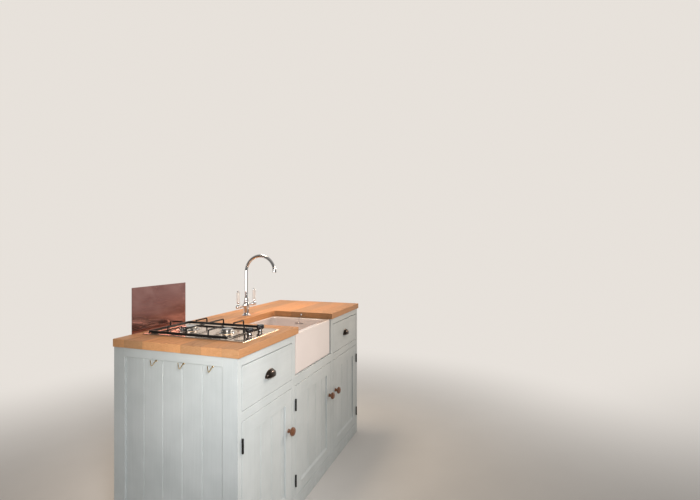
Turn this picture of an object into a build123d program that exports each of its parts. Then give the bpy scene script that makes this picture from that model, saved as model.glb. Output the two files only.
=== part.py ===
from build123d import *
import os
import math

# A painted in-frame kitchen base unit from a small timber hut: solid oak
# worktop, ceramic apron-front sink, two-burner hob, swan-neck mixer tap and a
# metal splashback.  Millimetres.  X runs along the unit, Y from the front to
# the wall, Z up from the floor.

# ---------------------------------------------------------------- dimensions
# measured from the near end (x), from the worktop's front edge (y), floor (z)
LENGTH = 1464.0          # worktop, end to end
DEPTH = 622.0            # worktop, front edge to wall
HEIGHT = 900.0           # top of the worktop
TOP_T = 33.0             # worktop thickness
OVERHANG = 6.0           # worktop past the end panels
FRAME_Y = 8.0            # front plane of the face frame, doors and drawers
FRAME_T = 22.0           # thickness of the face frame and doors
END_T = 25.0             # thickness of the end frames
GAP = 5.0                # round every door and drawer front

UNDER = HEIGHT - TOP_T   # underside of the worktop, 867
X0 = OVERHANG            # near end panel, outer face
X1 = LENGTH - OVERHANG   # far end panel, outer face
FRAME_BACK = FRAME_Y + FRAME_T

# vertical members of the face frame (left and right edges)
MULLION_1 = (456.5, 486.0)
MULLION_2 = (962.5, 992.5)
BAY_1 = (X0 + END_T, MULLION_1[0])
BAY_2 = (MULLION_1[1], MULLION_2[0])
BAY_3 = (MULLION_2[1], X1 - END_T)

BOTTOM_RAIL_TOP = 67.5
DOOR_OPENING_TOP = 617.5
MID_RAIL_TOP = 652.5
SINK_RAIL_TOP = 662.0
DRAWER_OPENING_TOP = 832.5

STILE_W = 62.0           # door stiles
RAIL_W = 62.0            # door rails
BOARD_END = 97.0         # tongued boards in the ends

END_FRONT_STILE = (FRAME_Y, 77.0)
END_BACK_STILE = (562.0, DEPTH)
END_TOP_RAIL = 828.0     # its lower edge

SINK = (489.0, 950.0, 10.0, 400.0, 665.0, 867.0)   # x0 x1 y0 y1 z0 z1
SINK_WALL = 25.0
CUTOUT = (508.0, 955.0, 386.0)                     # x0 x1 back edge

HOB = (112.0, 412.0, 50.0, 580.0)                  # x0 x1 y0 y1
HOB_X = (HOB[0] + HOB[1]) / 2
BURNER_REAR = (HOB_X, 450.0)
BURNER_FRONT = (HOB_X, 238.0)
HOB_KNOBS = ((248.0, 110.0), (336.0, 110.0))

TAP = (741.0, 447.0)
NECK_R = 92.0
NECK_Z = 1151.0
TUBE_R = 9.5

SPLASH = (97.0, 440.0, 867.0, 1107.0)              # x0 x1 z0 z1
HOOK_Y = (126.0, 264.0, 402.0)

DRAWER_DEPTH = 470.0

# the row's origin: middle of the footprint, on the floor
MID_X = 721.0
MID_Y = 298.0

os.makedirs("parts", exist_ok=True)


def at(x, y, z):
    return (x - MID_X, y - MID_Y, z)


def block(x0, x1, y0, y1, z0, z1, mode=Mode.ADD):
    # a box between two corners, added to the part being made
    with Locations(at((x0 + x1) / 2, (y0 + y1) / 2, (z0 + z1) / 2)):
        Box(x1 - x0, y1 - y0, z1 - z0, mode=mode)


def finish(part, name):
    part.label = name
    export_step(part, "parts/" + name + ".step")


# ------------------------------------------------------------------ worktop
with BuildPart() as worktop:
    block(0, LENGTH, 0, DEPTH, UNDER, HEIGHT)
    # open-fronted cut-out over the sink
    block(CUTOUT[0], CUTOUT[1], -5, CUTOUT[2], UNDER - 1, HEIGHT + 1, Mode.SUBTRACT)
    back_corners = (
        worktop.edges().filter_by(Axis.Z)
        .filter_by_position(Axis.Y, CUTOUT[2] - MID_Y - 0.5, CUTOUT[2] - MID_Y + 0.5)
    )
    fillet(back_corners, 18)
    # hob cut-out and tap hole
    block(HOB[0] + 14, HOB[1] - 14, HOB[2] + 14, HOB[3] - 14, UNDER - 1, HEIGHT + 1, Mode.SUBTRACT)
    with Locations(at(TAP[0], TAP[1], UNDER + TOP_T / 2)):
        Cylinder(17, TOP_T + 4, mode=Mode.SUBTRACT)
    # eased arrises round the outside of the top
    top_edges = worktop.faces().sort_by(Axis.Z)[-1].outer_wire().edges()
    fillet(top_edges, 2.5)
    # rebate that lets the splashback in flush with the back edge
    block(SPLASH[0], SPLASH[1], DEPTH - 2, DEPTH + 1, UNDER - 1, HEIGHT + 1, Mode.SUBTRACT)
finish(worktop.part, "worktop")

# ------------------------------------------------------------- framed ends


def end_frame(outer, inner):
    block(outer, inner, END_FRONT_STILE[0], END_FRONT_STILE[1], 0, UNDER)
    block(outer, inner, END_BACK_STILE[0], END_BACK_STILE[1], 0, UNDER)
    block(outer, inner, END_FRONT_STILE[1], END_BACK_STILE[0], END_TOP_RAIL, UNDER)
    block(outer, inner, END_FRONT_STILE[1], END_BACK_STILE[0], 0, BOTTOM_RAIL_TOP)


def end_boards(x_face, depth_dir):
    # boards 10 mm thick, set behind the frame's face, V-jointed
    xa = x_face
    xb = x_face + 10 * depth_dir
    block(min(xa, xb), max(xa, xb), END_FRONT_STILE[1], END_BACK_STILE[0], BOTTOM_RAIL_TOP, END_TOP_RAIL)
    y = END_FRONT_STILE[1] + BOARD_END
    seams = []
    while y < END_BACK_STILE[0] - 10:
        seams.append(y)
        y += BOARD_END
    for s in seams:
        with BuildSketch(Plane.XY.offset(BOTTOM_RAIL_TOP - 1)) as groove:
            with BuildLine():
                Polyline(
                    (xa - MID_X - 0.1 * depth_dir, s - 2.6 - MID_Y),
                    (xa - MID_X + 2.8 * depth_dir, s - MID_Y),
                    (xa - MID_X - 0.1 * depth_dir, s + 2.6 - MID_Y),
                    close=True,
                )
            make_face()
        extrude(groove.sketch, amount=END_TOP_RAIL - BOTTOM_RAIL_TOP + 2, mode=Mode.SUBTRACT)


with BuildPart() as near_end_frame:
    end_frame(X0, X0 + END_T)
    outer_face = near_end_frame.faces().sort_by(Axis.X)[0]
    fillet(outer_face.edges(), 1.2)
finish(near_end_frame.part, "near_end_frame")

with BuildPart() as near_end_boards:
    end_boards(X0 + 6, 1)
finish(near_end_boards.part, "near_end_boards")

with BuildPart() as far_end_frame:
    end_frame(X1 - END_T, X1)
    outer_face = far_end_frame.faces().sort_by(Axis.X)[-1]
    fillet(outer_face.edges(), 1.2)
finish(far_end_frame.part, "far_end_frame")

with BuildPart() as far_end_boards:
    end_boards(X1 - 6, -1)
finish(far_end_boards.part, "far_end_boards")

# --------------------------------------------------------------- face frame
with BuildPart() as mullions:
    block(MULLION_1[0], MULLION_1[1], FRAME_Y, FRAME_BACK, BOTTOM_RAIL_TOP, UNDER)
    block(MULLION_2[0], MULLION_2[1], FRAME_Y, FRAME_BACK, BOTTOM_RAIL_TOP, UNDER)
finish(mullions.part, "mullions")

# over and under the drawers, and under the sink
with BuildPart() as cross_rails:
    for bay in (BAY_1, BAY_3):
        block(bay[0], bay[1], FRAME_Y, FRAME_BACK, DRAWER_OPENING_TOP, UNDER)
        block(bay[0], bay[1], FRAME_Y, FRAME_BACK, DOOR_OPENING_TOP, MID_RAIL_TOP)
    block(BAY_2[0], BAY_2[1], FRAME_Y, FRAME_BACK, DOOR_OPENING_TOP, SINK_RAIL_TOP)
finish(cross_rails.part, "cross_rails")

with BuildPart() as bottom_rail:
    block(BAY_1[0], BAY_3[1], FRAME_Y, FRAME_BACK, 0, BOTTOM_RAIL_TOP)
finish(bottom_rail.part, "bottom_rail")

# ------------------------------------------------------------------ carcass
SHELF_T = 18.0
BACK_Y = 604.0
PART_T = 18.0
PART_1 = (sum(MULLION_1) / 2 - PART_T / 2, sum(MULLION_1) / 2 + PART_T / 2)
PART_2 = (sum(MULLION_2) / 2 - PART_T / 2, sum(MULLION_2) / 2 + PART_T / 2)

with BuildPart() as cabinet_floor:
    block(BAY_1[0], BAY_3[1], FRAME_BACK, BACK_Y, BOTTOM_RAIL_TOP - SHELF_T, BOTTOM_RAIL_TOP)
finish(cabinet_floor.part, "cabinet_floor")

with BuildPart() as back_panel:
    block(BAY_1[0], BAY_3[1], BACK_Y, BACK_Y + 12, 0, UNDER)
finish(back_panel.part, "back_panel")

with BuildPart() as partitions:
    for p in (PART_1, PART_2):
        block(p[0], p[1], FRAME_BACK, BACK_Y, BOTTOM_RAIL_TOP, UNDER)
finish(partitions.part, "partitions")

BOX_Z0 = 664.0
RUNNER_TOP = BOX_Z0 - 1.0
# runners under the drawers, and the bearers that carry the sink
with BuildPart() as runners_and_bearers:
    for xa, xb in (
        (BAY_1[0], BAY_1[0] + 25), (PART_1[0] - 25, PART_1[0]),
        (PART_2[1], PART_2[1] + 25), (BAY_3[1] - 25, BAY_3[1]),
    ):
        block(xa, xb, FRAME_BACK, BACK_Y, RUNNER_TOP - 24, RUNNER_TOP)
    block(PART_1[1], PART_1[1] + 32, FRAME_BACK, 470, SINK[4] - 45, SINK[4])
    block(PART_2[0] - 45, PART_2[0], FRAME_BACK, 470, SINK[4] - 45, SINK[4])
finish(runners_and_bearers.part, "runners_and_bearers")

# -------------------------------------------------------------------- doors
# each door is a frame of two stiles and two rails round V-jointed boards
HINGE_R = 4.0            # barrel radius
HINGE_Y = FRAME_Y - 4.3  # barrel axis, proud of the face
HINGE_Z = ((124.0, 182.0), (494.0, 552.0))
DOOR_Z = (BOTTOM_RAIL_TOP + GAP, DOOR_OPENING_TOP - GAP)
FREE_GAP = 6.0           # free side, so the inner corner clears as it swings
KNOB_Z = 425.0

DOORS = {
    "door_1": (BAY_1[0] + GAP, BAY_1[1] - FREE_GAP, "left", 417.0),
    "door_2": (BAY_2[0] + GAP, BAY_2[1] - FREE_GAP, "left", 930.0),
    "door_3": (BAY_3[0] + FREE_GAP, BAY_3[1] - GAP, "right", 1030.0),
}
# joints between the tongued boards of each door
SEAMS = {
    "door_1": (180.0, 271.0, 363.0),
    "door_2": (649.0, 745.0, 827.0),
    "door_3": (1161.0, 1265.0),
}
BOARD_BACK = 5.5         # panel set back behind the door's face
WEATHER = 12.0           # the low rail's top arris slopes to the panel over this height
BOARD_T = 10.0


def door_frame(x0, x1):
    z0, z1 = DOOR_Z
    block(x0, x0 + STILE_W, FRAME_Y, FRAME_BACK, z0, z1)
    block(x1 - STILE_W, x1, FRAME_Y, FRAME_BACK, z0, z1)
    block(x0 + STILE_W, x1 - STILE_W, FRAME_Y, FRAME_BACK, z1 - RAIL_W, z1)
    block(x0 + STILE_W, x1 - STILE_W, FRAME_Y, FRAME_BACK, z0, z0 + RAIL_W)


def slope_low_rail(x0, x1):
    z = DOOR_Z[0] + RAIL_W
    with BuildSketch(Plane(origin=at(x0 + STILE_W, 0, 0), x_dir=(0, 1, 0), z_dir=(1, 0, 0))) as wedge:
        with BuildLine():
            Polyline(
                (FRAME_Y - 1.0, z - WEATHER),
                (FRAME_Y, z - WEATHER),
                (FRAME_Y + BOARD_BACK, z),
                (FRAME_Y + BOARD_BACK, z + 1.0),
                (FRAME_Y - 1.0, z + 1.0),
                close=True,
            )
        make_face()
    extrude(wedge.sketch, amount=x1 - x0 - 2 * STILE_W, mode=Mode.SUBTRACT)


def door_boards(name):
    x0, x1 = DOORS[name][0], DOORS[name][1]
    z0, z1 = DOOR_Z[0] + RAIL_W, DOOR_Z[1] - RAIL_W
    xa, xb = x0 + STILE_W, x1 - STILE_W
    yf = FRAME_Y + BOARD_BACK
    block(xa, xb, yf, yf + BOARD_T, z0, z1)
    for s in SEAMS[name]:
        with BuildSketch(Plane.XY.offset(z0 - 1)) as groove:
            with BuildLine():
                Polyline(
                    (s - 2.6 - MID_X, yf - 0.1 - MID_Y),
                    (s - MID_X, yf + 2.8 - MID_Y),
                    (s + 2.6 - MID_X, yf - 0.1 - MID_Y),
                    close=True,
                )
            make_face()
        extrude(groove.sketch, amount=z1 - z0 + 2, mode=Mode.SUBTRACT)


def door_knob(x):
    # turned knob: rose, neck and a domed head, standing off the stile;
    # the profile's own Y points out of the door's face
    face = Plane(origin=at(x, FRAME_Y, KNOB_Z), x_dir=(1, 0, 0), z_dir=(0, 0, -1))
    with BuildSketch(face) as profile:
        with BuildLine():
            Polyline((0, 0), (10.2, 0), (10.2, 1.6), (9.4, 3.0), (8.4, 6.0), (8.0, 9.5), (8.6, 12.0), (12.5, 14.5))
            Spline((12.5, 14.5), (18.8, 18.5), (19.8, 24.0), (14.5, 31.0), (0, 34.0),
                   tangents=((1.0, 0.35), (-1.0, 0)))
            Line((0, 34.0), (0, 0))
        make_face()
    revolve(profile.sketch, axis=Axis(origin=at(x, FRAME_Y, KNOB_Z), direction=(0, -1, 0)))


with BuildPart() as door_1_frame:
    door_frame(DOORS["door_1"][0], DOORS["door_1"][1])
    fillet(door_1_frame.faces().sort_by(Axis.Y)[0].edges(), 1.2)
    slope_low_rail(DOORS["door_1"][0], DOORS["door_1"][1])
finish(door_1_frame.part, "door_1_frame")

with BuildPart() as door_2_frame:
    door_frame(DOORS["door_2"][0], DOORS["door_2"][1])
    fillet(door_2_frame.faces().sort_by(Axis.Y)[0].edges(), 1.2)
    slope_low_rail(DOORS["door_2"][0], DOORS["door_2"][1])
finish(door_2_frame.part, "door_2_frame")

with BuildPart() as door_3_frame:
    door_frame(DOORS["door_3"][0], DOORS["door_3"][1])
    fillet(door_3_frame.faces().sort_by(Axis.Y)[0].edges(), 1.2)
    slope_low_rail(DOORS["door_3"][0], DOORS["door_3"][1])
finish(door_3_frame.part, "door_3_frame")

with BuildPart() as door_1_boards:
    door_boards("door_1")
finish(door_1_boards.part, "door_1_boards")

with BuildPart() as door_2_boards:
    door_boards("door_2")
finish(door_2_boards.part, "door_2_boards")

with BuildPart() as door_3_boards:
    door_boards("door_3")
finish(door_3_boards.part, "door_3_boards")


with BuildPart() as door_1_knob:
    door_knob(DOORS["door_1"][3])
finish(door_1_knob.part, "door_1_knob")

with BuildPart() as door_2_knob:
    door_knob(DOORS["door_2"][3])
finish(door_2_knob.part, "door_2_knob")

with BuildPart() as door_3_knob:
    door_knob(DOORS["door_3"][3])
finish(door_3_knob.part, "door_3_knob")

# hinge barrels stand in the gap between the door and the frame; the outer
# knuckles and their leaf are on the frame, the middle one is on the door
HINGE_X = {
    "door_1": BAY_1[0] + GAP / 2,
    "door_2": BAY_2[0] + GAP / 2,
    "door_3": BAY_3[1] - GAP / 2,
}


def door_leaf(name):
    hx = HINGE_X[name]
    s = 1 if DOORS[name][2] == "left" else -1
    for z0, z1 in HINGE_Z:
        third = (z1 - z0) / 3
        with Locations(at(hx, HINGE_Y, (z0 + z1) / 2)):
            Cylinder(HINGE_R, third - 0.8)
        a, b = sorted((hx + s * 0.6, hx + s * GAP / 2))
        block(a, b, HINGE_Y, FRAME_BACK - 3, z0 + third + 0.4, z1 - third - 0.4)


with BuildPart() as door_1_hinge_leaves:
    door_leaf("door_1")
finish(door_1_hinge_leaves.part, "door_1_hinge_leaves")

with BuildPart() as door_2_hinge_leaves:
    door_leaf("door_2")
finish(door_2_hinge_leaves.part, "door_2_hinge_leaves")

with BuildPart() as door_3_hinge_leaves:
    door_leaf("door_3")
finish(door_3_hinge_leaves.part, "door_3_hinge_leaves")

with BuildPart() as frame_hinge_leaves:
    for name in ("door_1", "door_2", "door_3"):
        hx = HINGE_X[name]
        s = -1 if DOORS[name][2] == "left" else 1
        for z0, z1 in HINGE_Z:
            third = (z1 - z0) / 3
            with Locations(at(hx, HINGE_Y, z0 + third / 2), at(hx, HINGE_Y, z1 - third / 2)):
                Cylinder(HINGE_R, third)
            a, b = sorted((hx + s * 0.6, hx + s * GAP / 2))
            block(a, b, HINGE_Y, FRAME_BACK - 3, z0, z0 + third)
            block(a, b, HINGE_Y, FRAME_BACK - 3, z1 - third, z1)
            # the leaf's back strip joins the two knuckles behind the door's leaf
            block(a, b, HINGE_Y + HINGE_R + 0.6, FRAME_BACK - 3, z0, z1)
finish(frame_hinge_leaves.part, "frame_hinge_leaves")

# ------------------------------------------------------------------ drawers
DRAWER_Z = (MID_RAIL_TOP + GAP, DRAWER_OPENING_TOP - GAP)
BOX_Z1 = 800.0
PULL_Z = 745.5


def drawer_box(bay_left, bay_right):
    xa, xb = bay_left + 9, bay_right - 9
    y0, y1 = FRAME_Y + 20, FRAME_Y + 20 + DRAWER_DEPTH
    block(xa, xa + 12, y0, y1, BOX_Z0, BOX_Z1)
    block(xb - 12, xb, y0, y1, BOX_Z0, BOX_Z1)
    block(xa + 12, xb - 12, y0, y0 + 12, BOX_Z0, BOX_Z1)
    block(xa + 12, xb - 12, y1 - 12, y1, BOX_Z0, BOX_Z1)
    block(xa + 12, xb - 12, y0 + 12, y1 - 12, BOX_Z0 + 8, BOX_Z0 + 14)


with BuildPart() as drawer_1_front:
    block(BAY_1[0] + GAP, BAY_1[1] - GAP, FRAME_Y, FRAME_Y + 20, DRAWER_Z[0], DRAWER_Z[1])
    fillet(drawer_1_front.faces().sort_by(Axis.Y)[0].edges(), 1.2)
finish(drawer_1_front.part, "drawer_1_front")

with BuildPart() as drawer_2_front:
    block(BAY_3[0] + GAP, BAY_3[1] - GAP, FRAME_Y, FRAME_Y + 20, DRAWER_Z[0], DRAWER_Z[1])
    fillet(drawer_2_front.faces().sort_by(Axis.Y)[0].edges(), 1.2)
finish(drawer_2_front.part, "drawer_2_front")

with BuildPart() as drawer_1_box:
    drawer_box(BAY_1[0], BAY_1[1])
finish(drawer_1_box.part, "drawer_1_box")

with BuildPart() as drawer_2_box:
    drawer_box(BAY_3[0], BAY_3[1])
finish(drawer_2_box.part, "drawer_2_box")

# cup pulls: a half-round hood, 2.5 mm thick, open below, on a thin flange
PULL_X = (246.0, 1212.0)
PULL_W, PULL_D, PULL_H = 78.0, 21.0, 31.0


def half_round(cx, z, w, y_back, d):
    # a chord of width w at y_back, bulging d towards the front
    with BuildSketch(Plane(origin=at(cx, FRAME_Y, z), z_dir=(0, 0, 1))) as plan:
        with BuildLine():
            ThreePointArc((-w / 2, y_back), (0, y_back - d), (w / 2, y_back))
            Line((w / 2, y_back), (-w / 2, y_back))
        make_face()
    return plan.sketch


def cup_pull(cx):
    z = PULL_Z - PULL_H / 2
    extrude(half_round(cx, z, PULL_W, 0, PULL_D), amount=PULL_H)


def cup_pull_hollow(cx):
    z = PULL_Z - PULL_H / 2
    extrude(half_round(cx, z, PULL_W - 8, -1.5, PULL_D - 4), amount=PULL_H - 7, mode=Mode.SUBTRACT)
    # flange against the drawer front
    block(cx - PULL_W / 2 - 3, cx + PULL_W / 2 + 3, FRAME_Y - 1.5, FRAME_Y, z, z + PULL_H + 3)


with BuildPart() as drawer_1_pull:
    cup_pull(PULL_X[0])
    fillet(drawer_1_pull.faces().sort_by(Axis.Z)[-1].edges().filter_by(GeomType.CIRCLE), 12)
    cup_pull_hollow(PULL_X[0])
finish(drawer_1_pull.part, "drawer_1_pull")

with BuildPart() as drawer_2_pull:
    cup_pull(PULL_X[1])
    fillet(drawer_2_pull.faces().sort_by(Axis.Z)[-1].edges().filter_by(GeomType.CIRCLE), 12)
    cup_pull_hollow(PULL_X[1])
finish(drawer_2_pull.part, "drawer_2_pull")

# --------------------------------------------------------------------- sink
SX = (SINK[0] + SINK[1]) / 2
SY = (SINK[2] + SINK[3]) / 2
SINK_BOTTOM = SINK[4] + 25
WASTE = (SX, SY + 20)
STAY = (CUTOUT[1], 200.0, 884.0)         # chain stay on the worktop's cut edge
with BuildPart() as sink:
    block(*SINK)
    fillet(sink.edges().filter_by(Axis.Z), 14)
    fillet(sink.faces().sort_by(Axis.Z)[0].edges(), 8)
    fillet(sink.faces().sort_by(Axis.Z)[-1].edges(), 5)
    with BuildSketch(Plane.XY.offset(SINK[5] + 1)):
        with Locations((SX - MID_X, SY - MID_Y)):
            RectangleRounded(SINK[1] - SINK[0] - 2 * SINK_WALL, SINK[3] - SINK[2] - 2 * SINK_WALL, 30)
    extrude(amount=-(SINK[5] + 1 - SINK_BOTTOM), mode=Mode.SUBTRACT)
    # cove round the bowl's floor, and an eased inner rim
    bowl_floor = sink.faces().filter_by(Axis.Z).group_by(Axis.Z)[1]
    fillet(bowl_floor.edges(), 16)
    rim = sink.faces().sort_by(Axis.Z)[-1]
    fillet(rim.inner_wires().edges(), 5)
    with Locations(at(WASTE[0], WASTE[1], SINK_BOTTOM - 12.5)):
        Cylinder(24, 30, mode=Mode.SUBTRACT)
    # overflow slot in the far wall
    block(SINK[1] - SINK_WALL - 5, SINK[1] - 8, STAY[1] - 26, STAY[1] + 26, 832, 840, Mode.SUBTRACT)
finish(sink.part, "sink")

with BuildPart() as sink_waste:
    # flanged grid, threaded body and back nut under the sink
    with Locations(at(WASTE[0], WASTE[1], SINK_BOTTOM + 1.5)):
        Cylinder(35, 3)
    with Locations(at(WASTE[0], WASTE[1], SINK_BOTTOM - 30)):
        Cylinder(22, 60)
    with Locations(at(WASTE[0], WASTE[1], SINK[4] - 6)):
        Cylinder(33, 12)
    with Locations(at(WASTE[0], WASTE[1], SINK_BOTTOM + 3)):
        Cylinder(19, 8, mode=Mode.SUBTRACT)
finish(sink_waste.part, "sink_waste")

# chain stay on the cut edge of the worktop; the short chain comes down over
# the sink's rim and ends at the overflow slot
with BuildPart() as plug_chain:
    with Locations(Plane(origin=at(STAY[0] - 5, STAY[1], STAY[2]), z_dir=(1, 0, 0))):
        Cylinder(7, 5, align=(Align.CENTER, Align.CENTER, Align.MIN))
    rim_x = SINK[1] - SINK_WALL
    block(STAY[0] - 6.5, STAY[0] - 4, STAY[1] - 1.5, STAY[1] + 1.5, 867.5, STAY[2])
    block(rim_x - 4, STAY[0] - 4, STAY[1] - 1.5, STAY[1] + 1.5, 867.5, 870.5)
    block(rim_x - 4, rim_x - 1, STAY[1] - 1.5, STAY[1] + 1.5, 842, 869)
    with Locations(at(rim_x - 5.5, STAY[1], 840)):
        Cylinder(4.5, 10)
finish(plug_chain.part, "plug_chain")

# ---------------------------------------------------------------------- tap
ARM_Z = 958.0            # the two side arms, level
ARM_END = 72.0           # from the tap's centre to the arm's end
HUB_END = 98.0           # to the outer end of the lever's hub
LEVER_X = 82.0           # to the lever, which stands upright
LEVER_TOP = 1049.0
with BuildPart() as tap_body:
    with BuildSketch(Plane.XZ.offset(-(TAP[1] - MID_Y))):
        with BuildLine():
            cx = TAP[0] - MID_X
            Polyline(
                (cx, 900), (cx + 25, 900), (cx + 25, 904), (cx + 19, 908), (cx + 15.5, 912),
                (cx + 15.5, 940), (cx + 18.5, 948), (cx + 18.5, 968), (cx + 14, 978), (cx + 13, 986), (cx, 986),
                close=True,
            )
        make_face()
    revolve(axis=Axis(origin=at(TAP[0], TAP[1], 0), direction=(0, 0, 1)))
    # threaded shank and back nut under the worktop
    with Locations(at(TAP[0], TAP[1], 880)):
        Cylinder(14, 60)
    with Locations(at(TAP[0], TAP[1], UNDER - 6)):
        Cylinder(25, 12)
    # a level arm to either side, with the valve in its end
    with Locations(Plane(origin=at(TAP[0], TAP[1], ARM_Z), z_dir=(1, 0, 0))):
        Cylinder(8, 2 * ARM_END)
finish(tap_body.part, "tap_body")

with BuildPart() as tap_spout:
    tx, ty = TAP[0] - MID_X, TAP[1] - MID_Y
    with BuildLine() as neck:
        riser = Line((tx, ty, 986.5), (tx, ty, NECK_Z))
        bend = ThreePointArc((tx, ty, NECK_Z), (tx, ty - NECK_R, NECK_Z + NECK_R), (tx, ty - 2 * NECK_R, NECK_Z))
    with BuildSketch(Plane(origin=(tx, ty, 986.5), z_dir=(0, 0, 1))):
        Circle(TUBE_R)
    sweep()
    # collar at the foot and nozzle at the tip
    with Locations((tx, ty, 995.0)):
        Cylinder(12, 17)
    with Locations((tx, ty - 2 * NECK_R + 1.2, NECK_Z + 11)):
        Cylinder(11.5, 24)
finish(tap_spout.part, "tap_spout")



def lever(side):
    # a hub on the end of the arm, and an upright porcelain handle with a
    # metal cap
    with Locations(Plane(origin=at(TAP[0] + side * (ARM_END + 0.6), TAP[1], ARM_Z), z_dir=(side, 0, 0))):
        Cylinder(9.5, HUB_END - ARM_END - 0.6, align=(Align.CENTER, Align.CENTER, Align.MIN))
    with Locations(at(TAP[0] + side * LEVER_X, TAP[1], ARM_Z)):
        Cylinder(5, 984 - ARM_Z, align=(Align.CENTER, Align.CENTER, Align.MIN))
    with Locations(at(TAP[0] + side * LEVER_X, TAP[1], 983)):
        Cylinder(8.8, 58, align=(Align.CENTER, Align.CENTER, Align.MIN))
    with Locations(at(TAP[0] + side * LEVER_X, TAP[1], 1040)):
        Cylinder(5.5, LEVER_TOP - 1040, align=(Align.CENTER, Align.CENTER, Align.MIN))


with BuildPart() as tap_lever_far:
    lever(1)
finish(tap_lever_far.part, "tap_lever_far")

# the near lever is the far one's mirror image about the tap
with BuildPart() as tap_lever_near:
    mirror(tap_lever_far.part, about=Plane.YZ.offset(TAP[0] - MID_X))
finish(tap_lever_near.part, "tap_lever_near")

# ---------------------------------------------------------------------- hob
with BuildPart() as hob_plate:
    with BuildSketch(Plane.XY.offset(HEIGHT)):
        with Locations((HOB_X - MID_X, (HOB[2] + HOB[3]) / 2 - MID_Y)):
            RectangleRounded(HOB[1] - HOB[0], HOB[3] - HOB[2], 10)
    extrude(amount=4)
    fillet(hob_plate.faces().sort_by(Axis.Z)[-1].edges(), 2.5)
    block(HOB[0] + 20, HOB[1] - 20, HOB[2] + 20, HOB[3] - 20, 852, HEIGHT)
finish(hob_plate.part, "hob_plate")

with BuildPart() as hob_burners:
    for (bx, by), r in ((BURNER_REAR, 44), (BURNER_FRONT, 34)):
        with Locations(at(bx, by, 904 + 1.5)):
            Cylinder(r + 8, 3)
        with Locations(at(bx, by, 907 + 5)):
            Cylinder(r, 10)
        with Locations(at(bx, by, 917 + 2.5)):
            Cylinder(r - 4, 5)
finish(hob_burners.part, "hob_burners")

# pan support: a low frame, three sides of it in deep flat bar and the front a
# thin rod close to the plate, with raised fingers over each burner
PS = (126.0, 398.0, 143.0, 560.0)
PS_Z = (905.5, 916.5)
FINGER_Z = (933.0, 940.0)
BAR = 8.0
FINGER = 7.0
REACH_NEAR = 26.0        # gap from a burner's centre to a finger's tip
REACH_FAR = 48.0
CROSS_Y = 352.0
with BuildPart() as pan_support:
    block(PS[0], PS[1], PS[2], PS[2] + 4, 904.5, 908)
    block(PS[0], PS[1], PS[3] - BAR, PS[3], *PS_Z)
    block(PS[0], PS[0] + BAR, PS[2], PS[3], *PS_Z)
    block(PS[1] - BAR, PS[1], PS[2], PS[3], *PS_Z)
    # feet at the corners
    for fx in (PS[0] + 1, PS[1] - 9):
        for fy in (PS[2] + 1, PS[3] - 9):
            block(fx, fx + 8, fy, fy + 8, 904, PS_Z[0])
    h = FINGER / 2
    for bx, by in (BURNER_FRONT, BURNER_REAR):
        # along X from both sides
        block(PS[0], PS[0] + FINGER, by - h, by + h, PS_Z[0], FINGER_Z[1])
        block(PS[0], bx - REACH_NEAR, by - h, by + h, *FINGER_Z)
        block(PS[1] - FINGER, PS[1], by - h, by + h, PS_Z[0], FINGER_Z[1])
        block(bx + REACH_FAR, PS[1], by - h, by + h, *FINGER_Z)
    # raised bar across the middle, with a finger each way
    block(PS[0], PS[0] + FINGER, CROSS_Y - h, CROSS_Y + h, PS_Z[0], FINGER_Z[1])
    block(PS[1] - FINGER, PS[1], CROSS_Y - h, CROSS_Y + h, PS_Z[0], FINGER_Z[1])
    block(PS[0], PS[1], CROSS_Y - h, CROSS_Y + h, *FINGER_Z)
    block(HOB_X - h, HOB_X + h, BURNER_FRONT[1] + REACH_NEAR + 10, BURNER_REAR[1] - REACH_NEAR - 10, *FINGER_Z)
    # front and rear fingers
    block(HOB_X - h, HOB_X + h, PS[2], PS[2] + FINGER, 904.5, FINGER_Z[1])
    block(HOB_X - h, HOB_X + h, PS[2], BURNER_FRONT[1] - REACH_NEAR - 10, *FINGER_Z)
    block(HOB_X - h, HOB_X + h, PS[3] - FINGER, PS[3], PS_Z[0], FINGER_Z[1])
    block(HOB_X - h, HOB_X + h, BURNER_REAR[1] + REACH_NEAR + 10, PS[3], *FINGER_Z)
finish(pan_support.part, "pan_support")


def hob_knob(x, y):
    # a metal skirt and a wider head
    with Locations(at(x, y, 904.5)):
        Cylinder(13, 12, align=(Align.CENTER, Align.CENTER, Align.MIN))
    with Locations(at(x, y, 916)):
        Cylinder(17.5, 18, align=(Align.CENTER, Align.CENTER, Align.MIN))


with BuildPart() as hob_knob_rear:
    hob_knob(*HOB_KNOBS[0])
    fillet(hob_knob_rear.faces().sort_by(Axis.Z)[-1].edges(), 2)
finish(hob_knob_rear.part, "hob_knob_rear")

with BuildPart() as hob_knob_front:
    hob_knob(*HOB_KNOBS[1])
    fillet(hob_knob_front.faces().sort_by(Axis.Z)[-1].edges(), 2)
finish(hob_knob_front.part, "hob_knob_front")

# --------------------------------------------------------------- splashback
with BuildPart() as splashback:
    block(SPLASH[0], SPLASH[1], DEPTH - 2, DEPTH, SPLASH[2], SPLASH[3])
finish(splashback.part, "splashback")

# -------------------------------------------------------------------- hooks
# three small V hooks of bent wire, screwed into the near end just under its
# top rail
HOOK_Z = 823.0
with BuildPart() as hooks:
    for hy in HOOK_Y:
        with Locations(Plane(origin=at(X0 + 6, hy, HOOK_Z), z_dir=(-1, 0, 0))):
            Cylinder(4.5, 1.5, align=(Align.CENTER, Align.CENTER, Align.MIN))
        with BuildLine() as wire:
            FilletPolyline(
                at(X0 + 5.2, hy, HOOK_Z), at(X0 + 1.5, hy, HOOK_Z - 1), at(X0 - 15.5, hy, 808),
                at(X0 - 21, hy, 809.5), at(X0 - 26.15, hy, 834),
                radius=(6.0, 4.5, 4.5),
            )
        start = wire.line @ 0
        with BuildSketch(Plane(origin=start, z_dir=wire.line % 0)):
            Circle(1.8)
        sweep(path=wire.wires()[0])
finish(hooks.part, "hooks")
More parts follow.
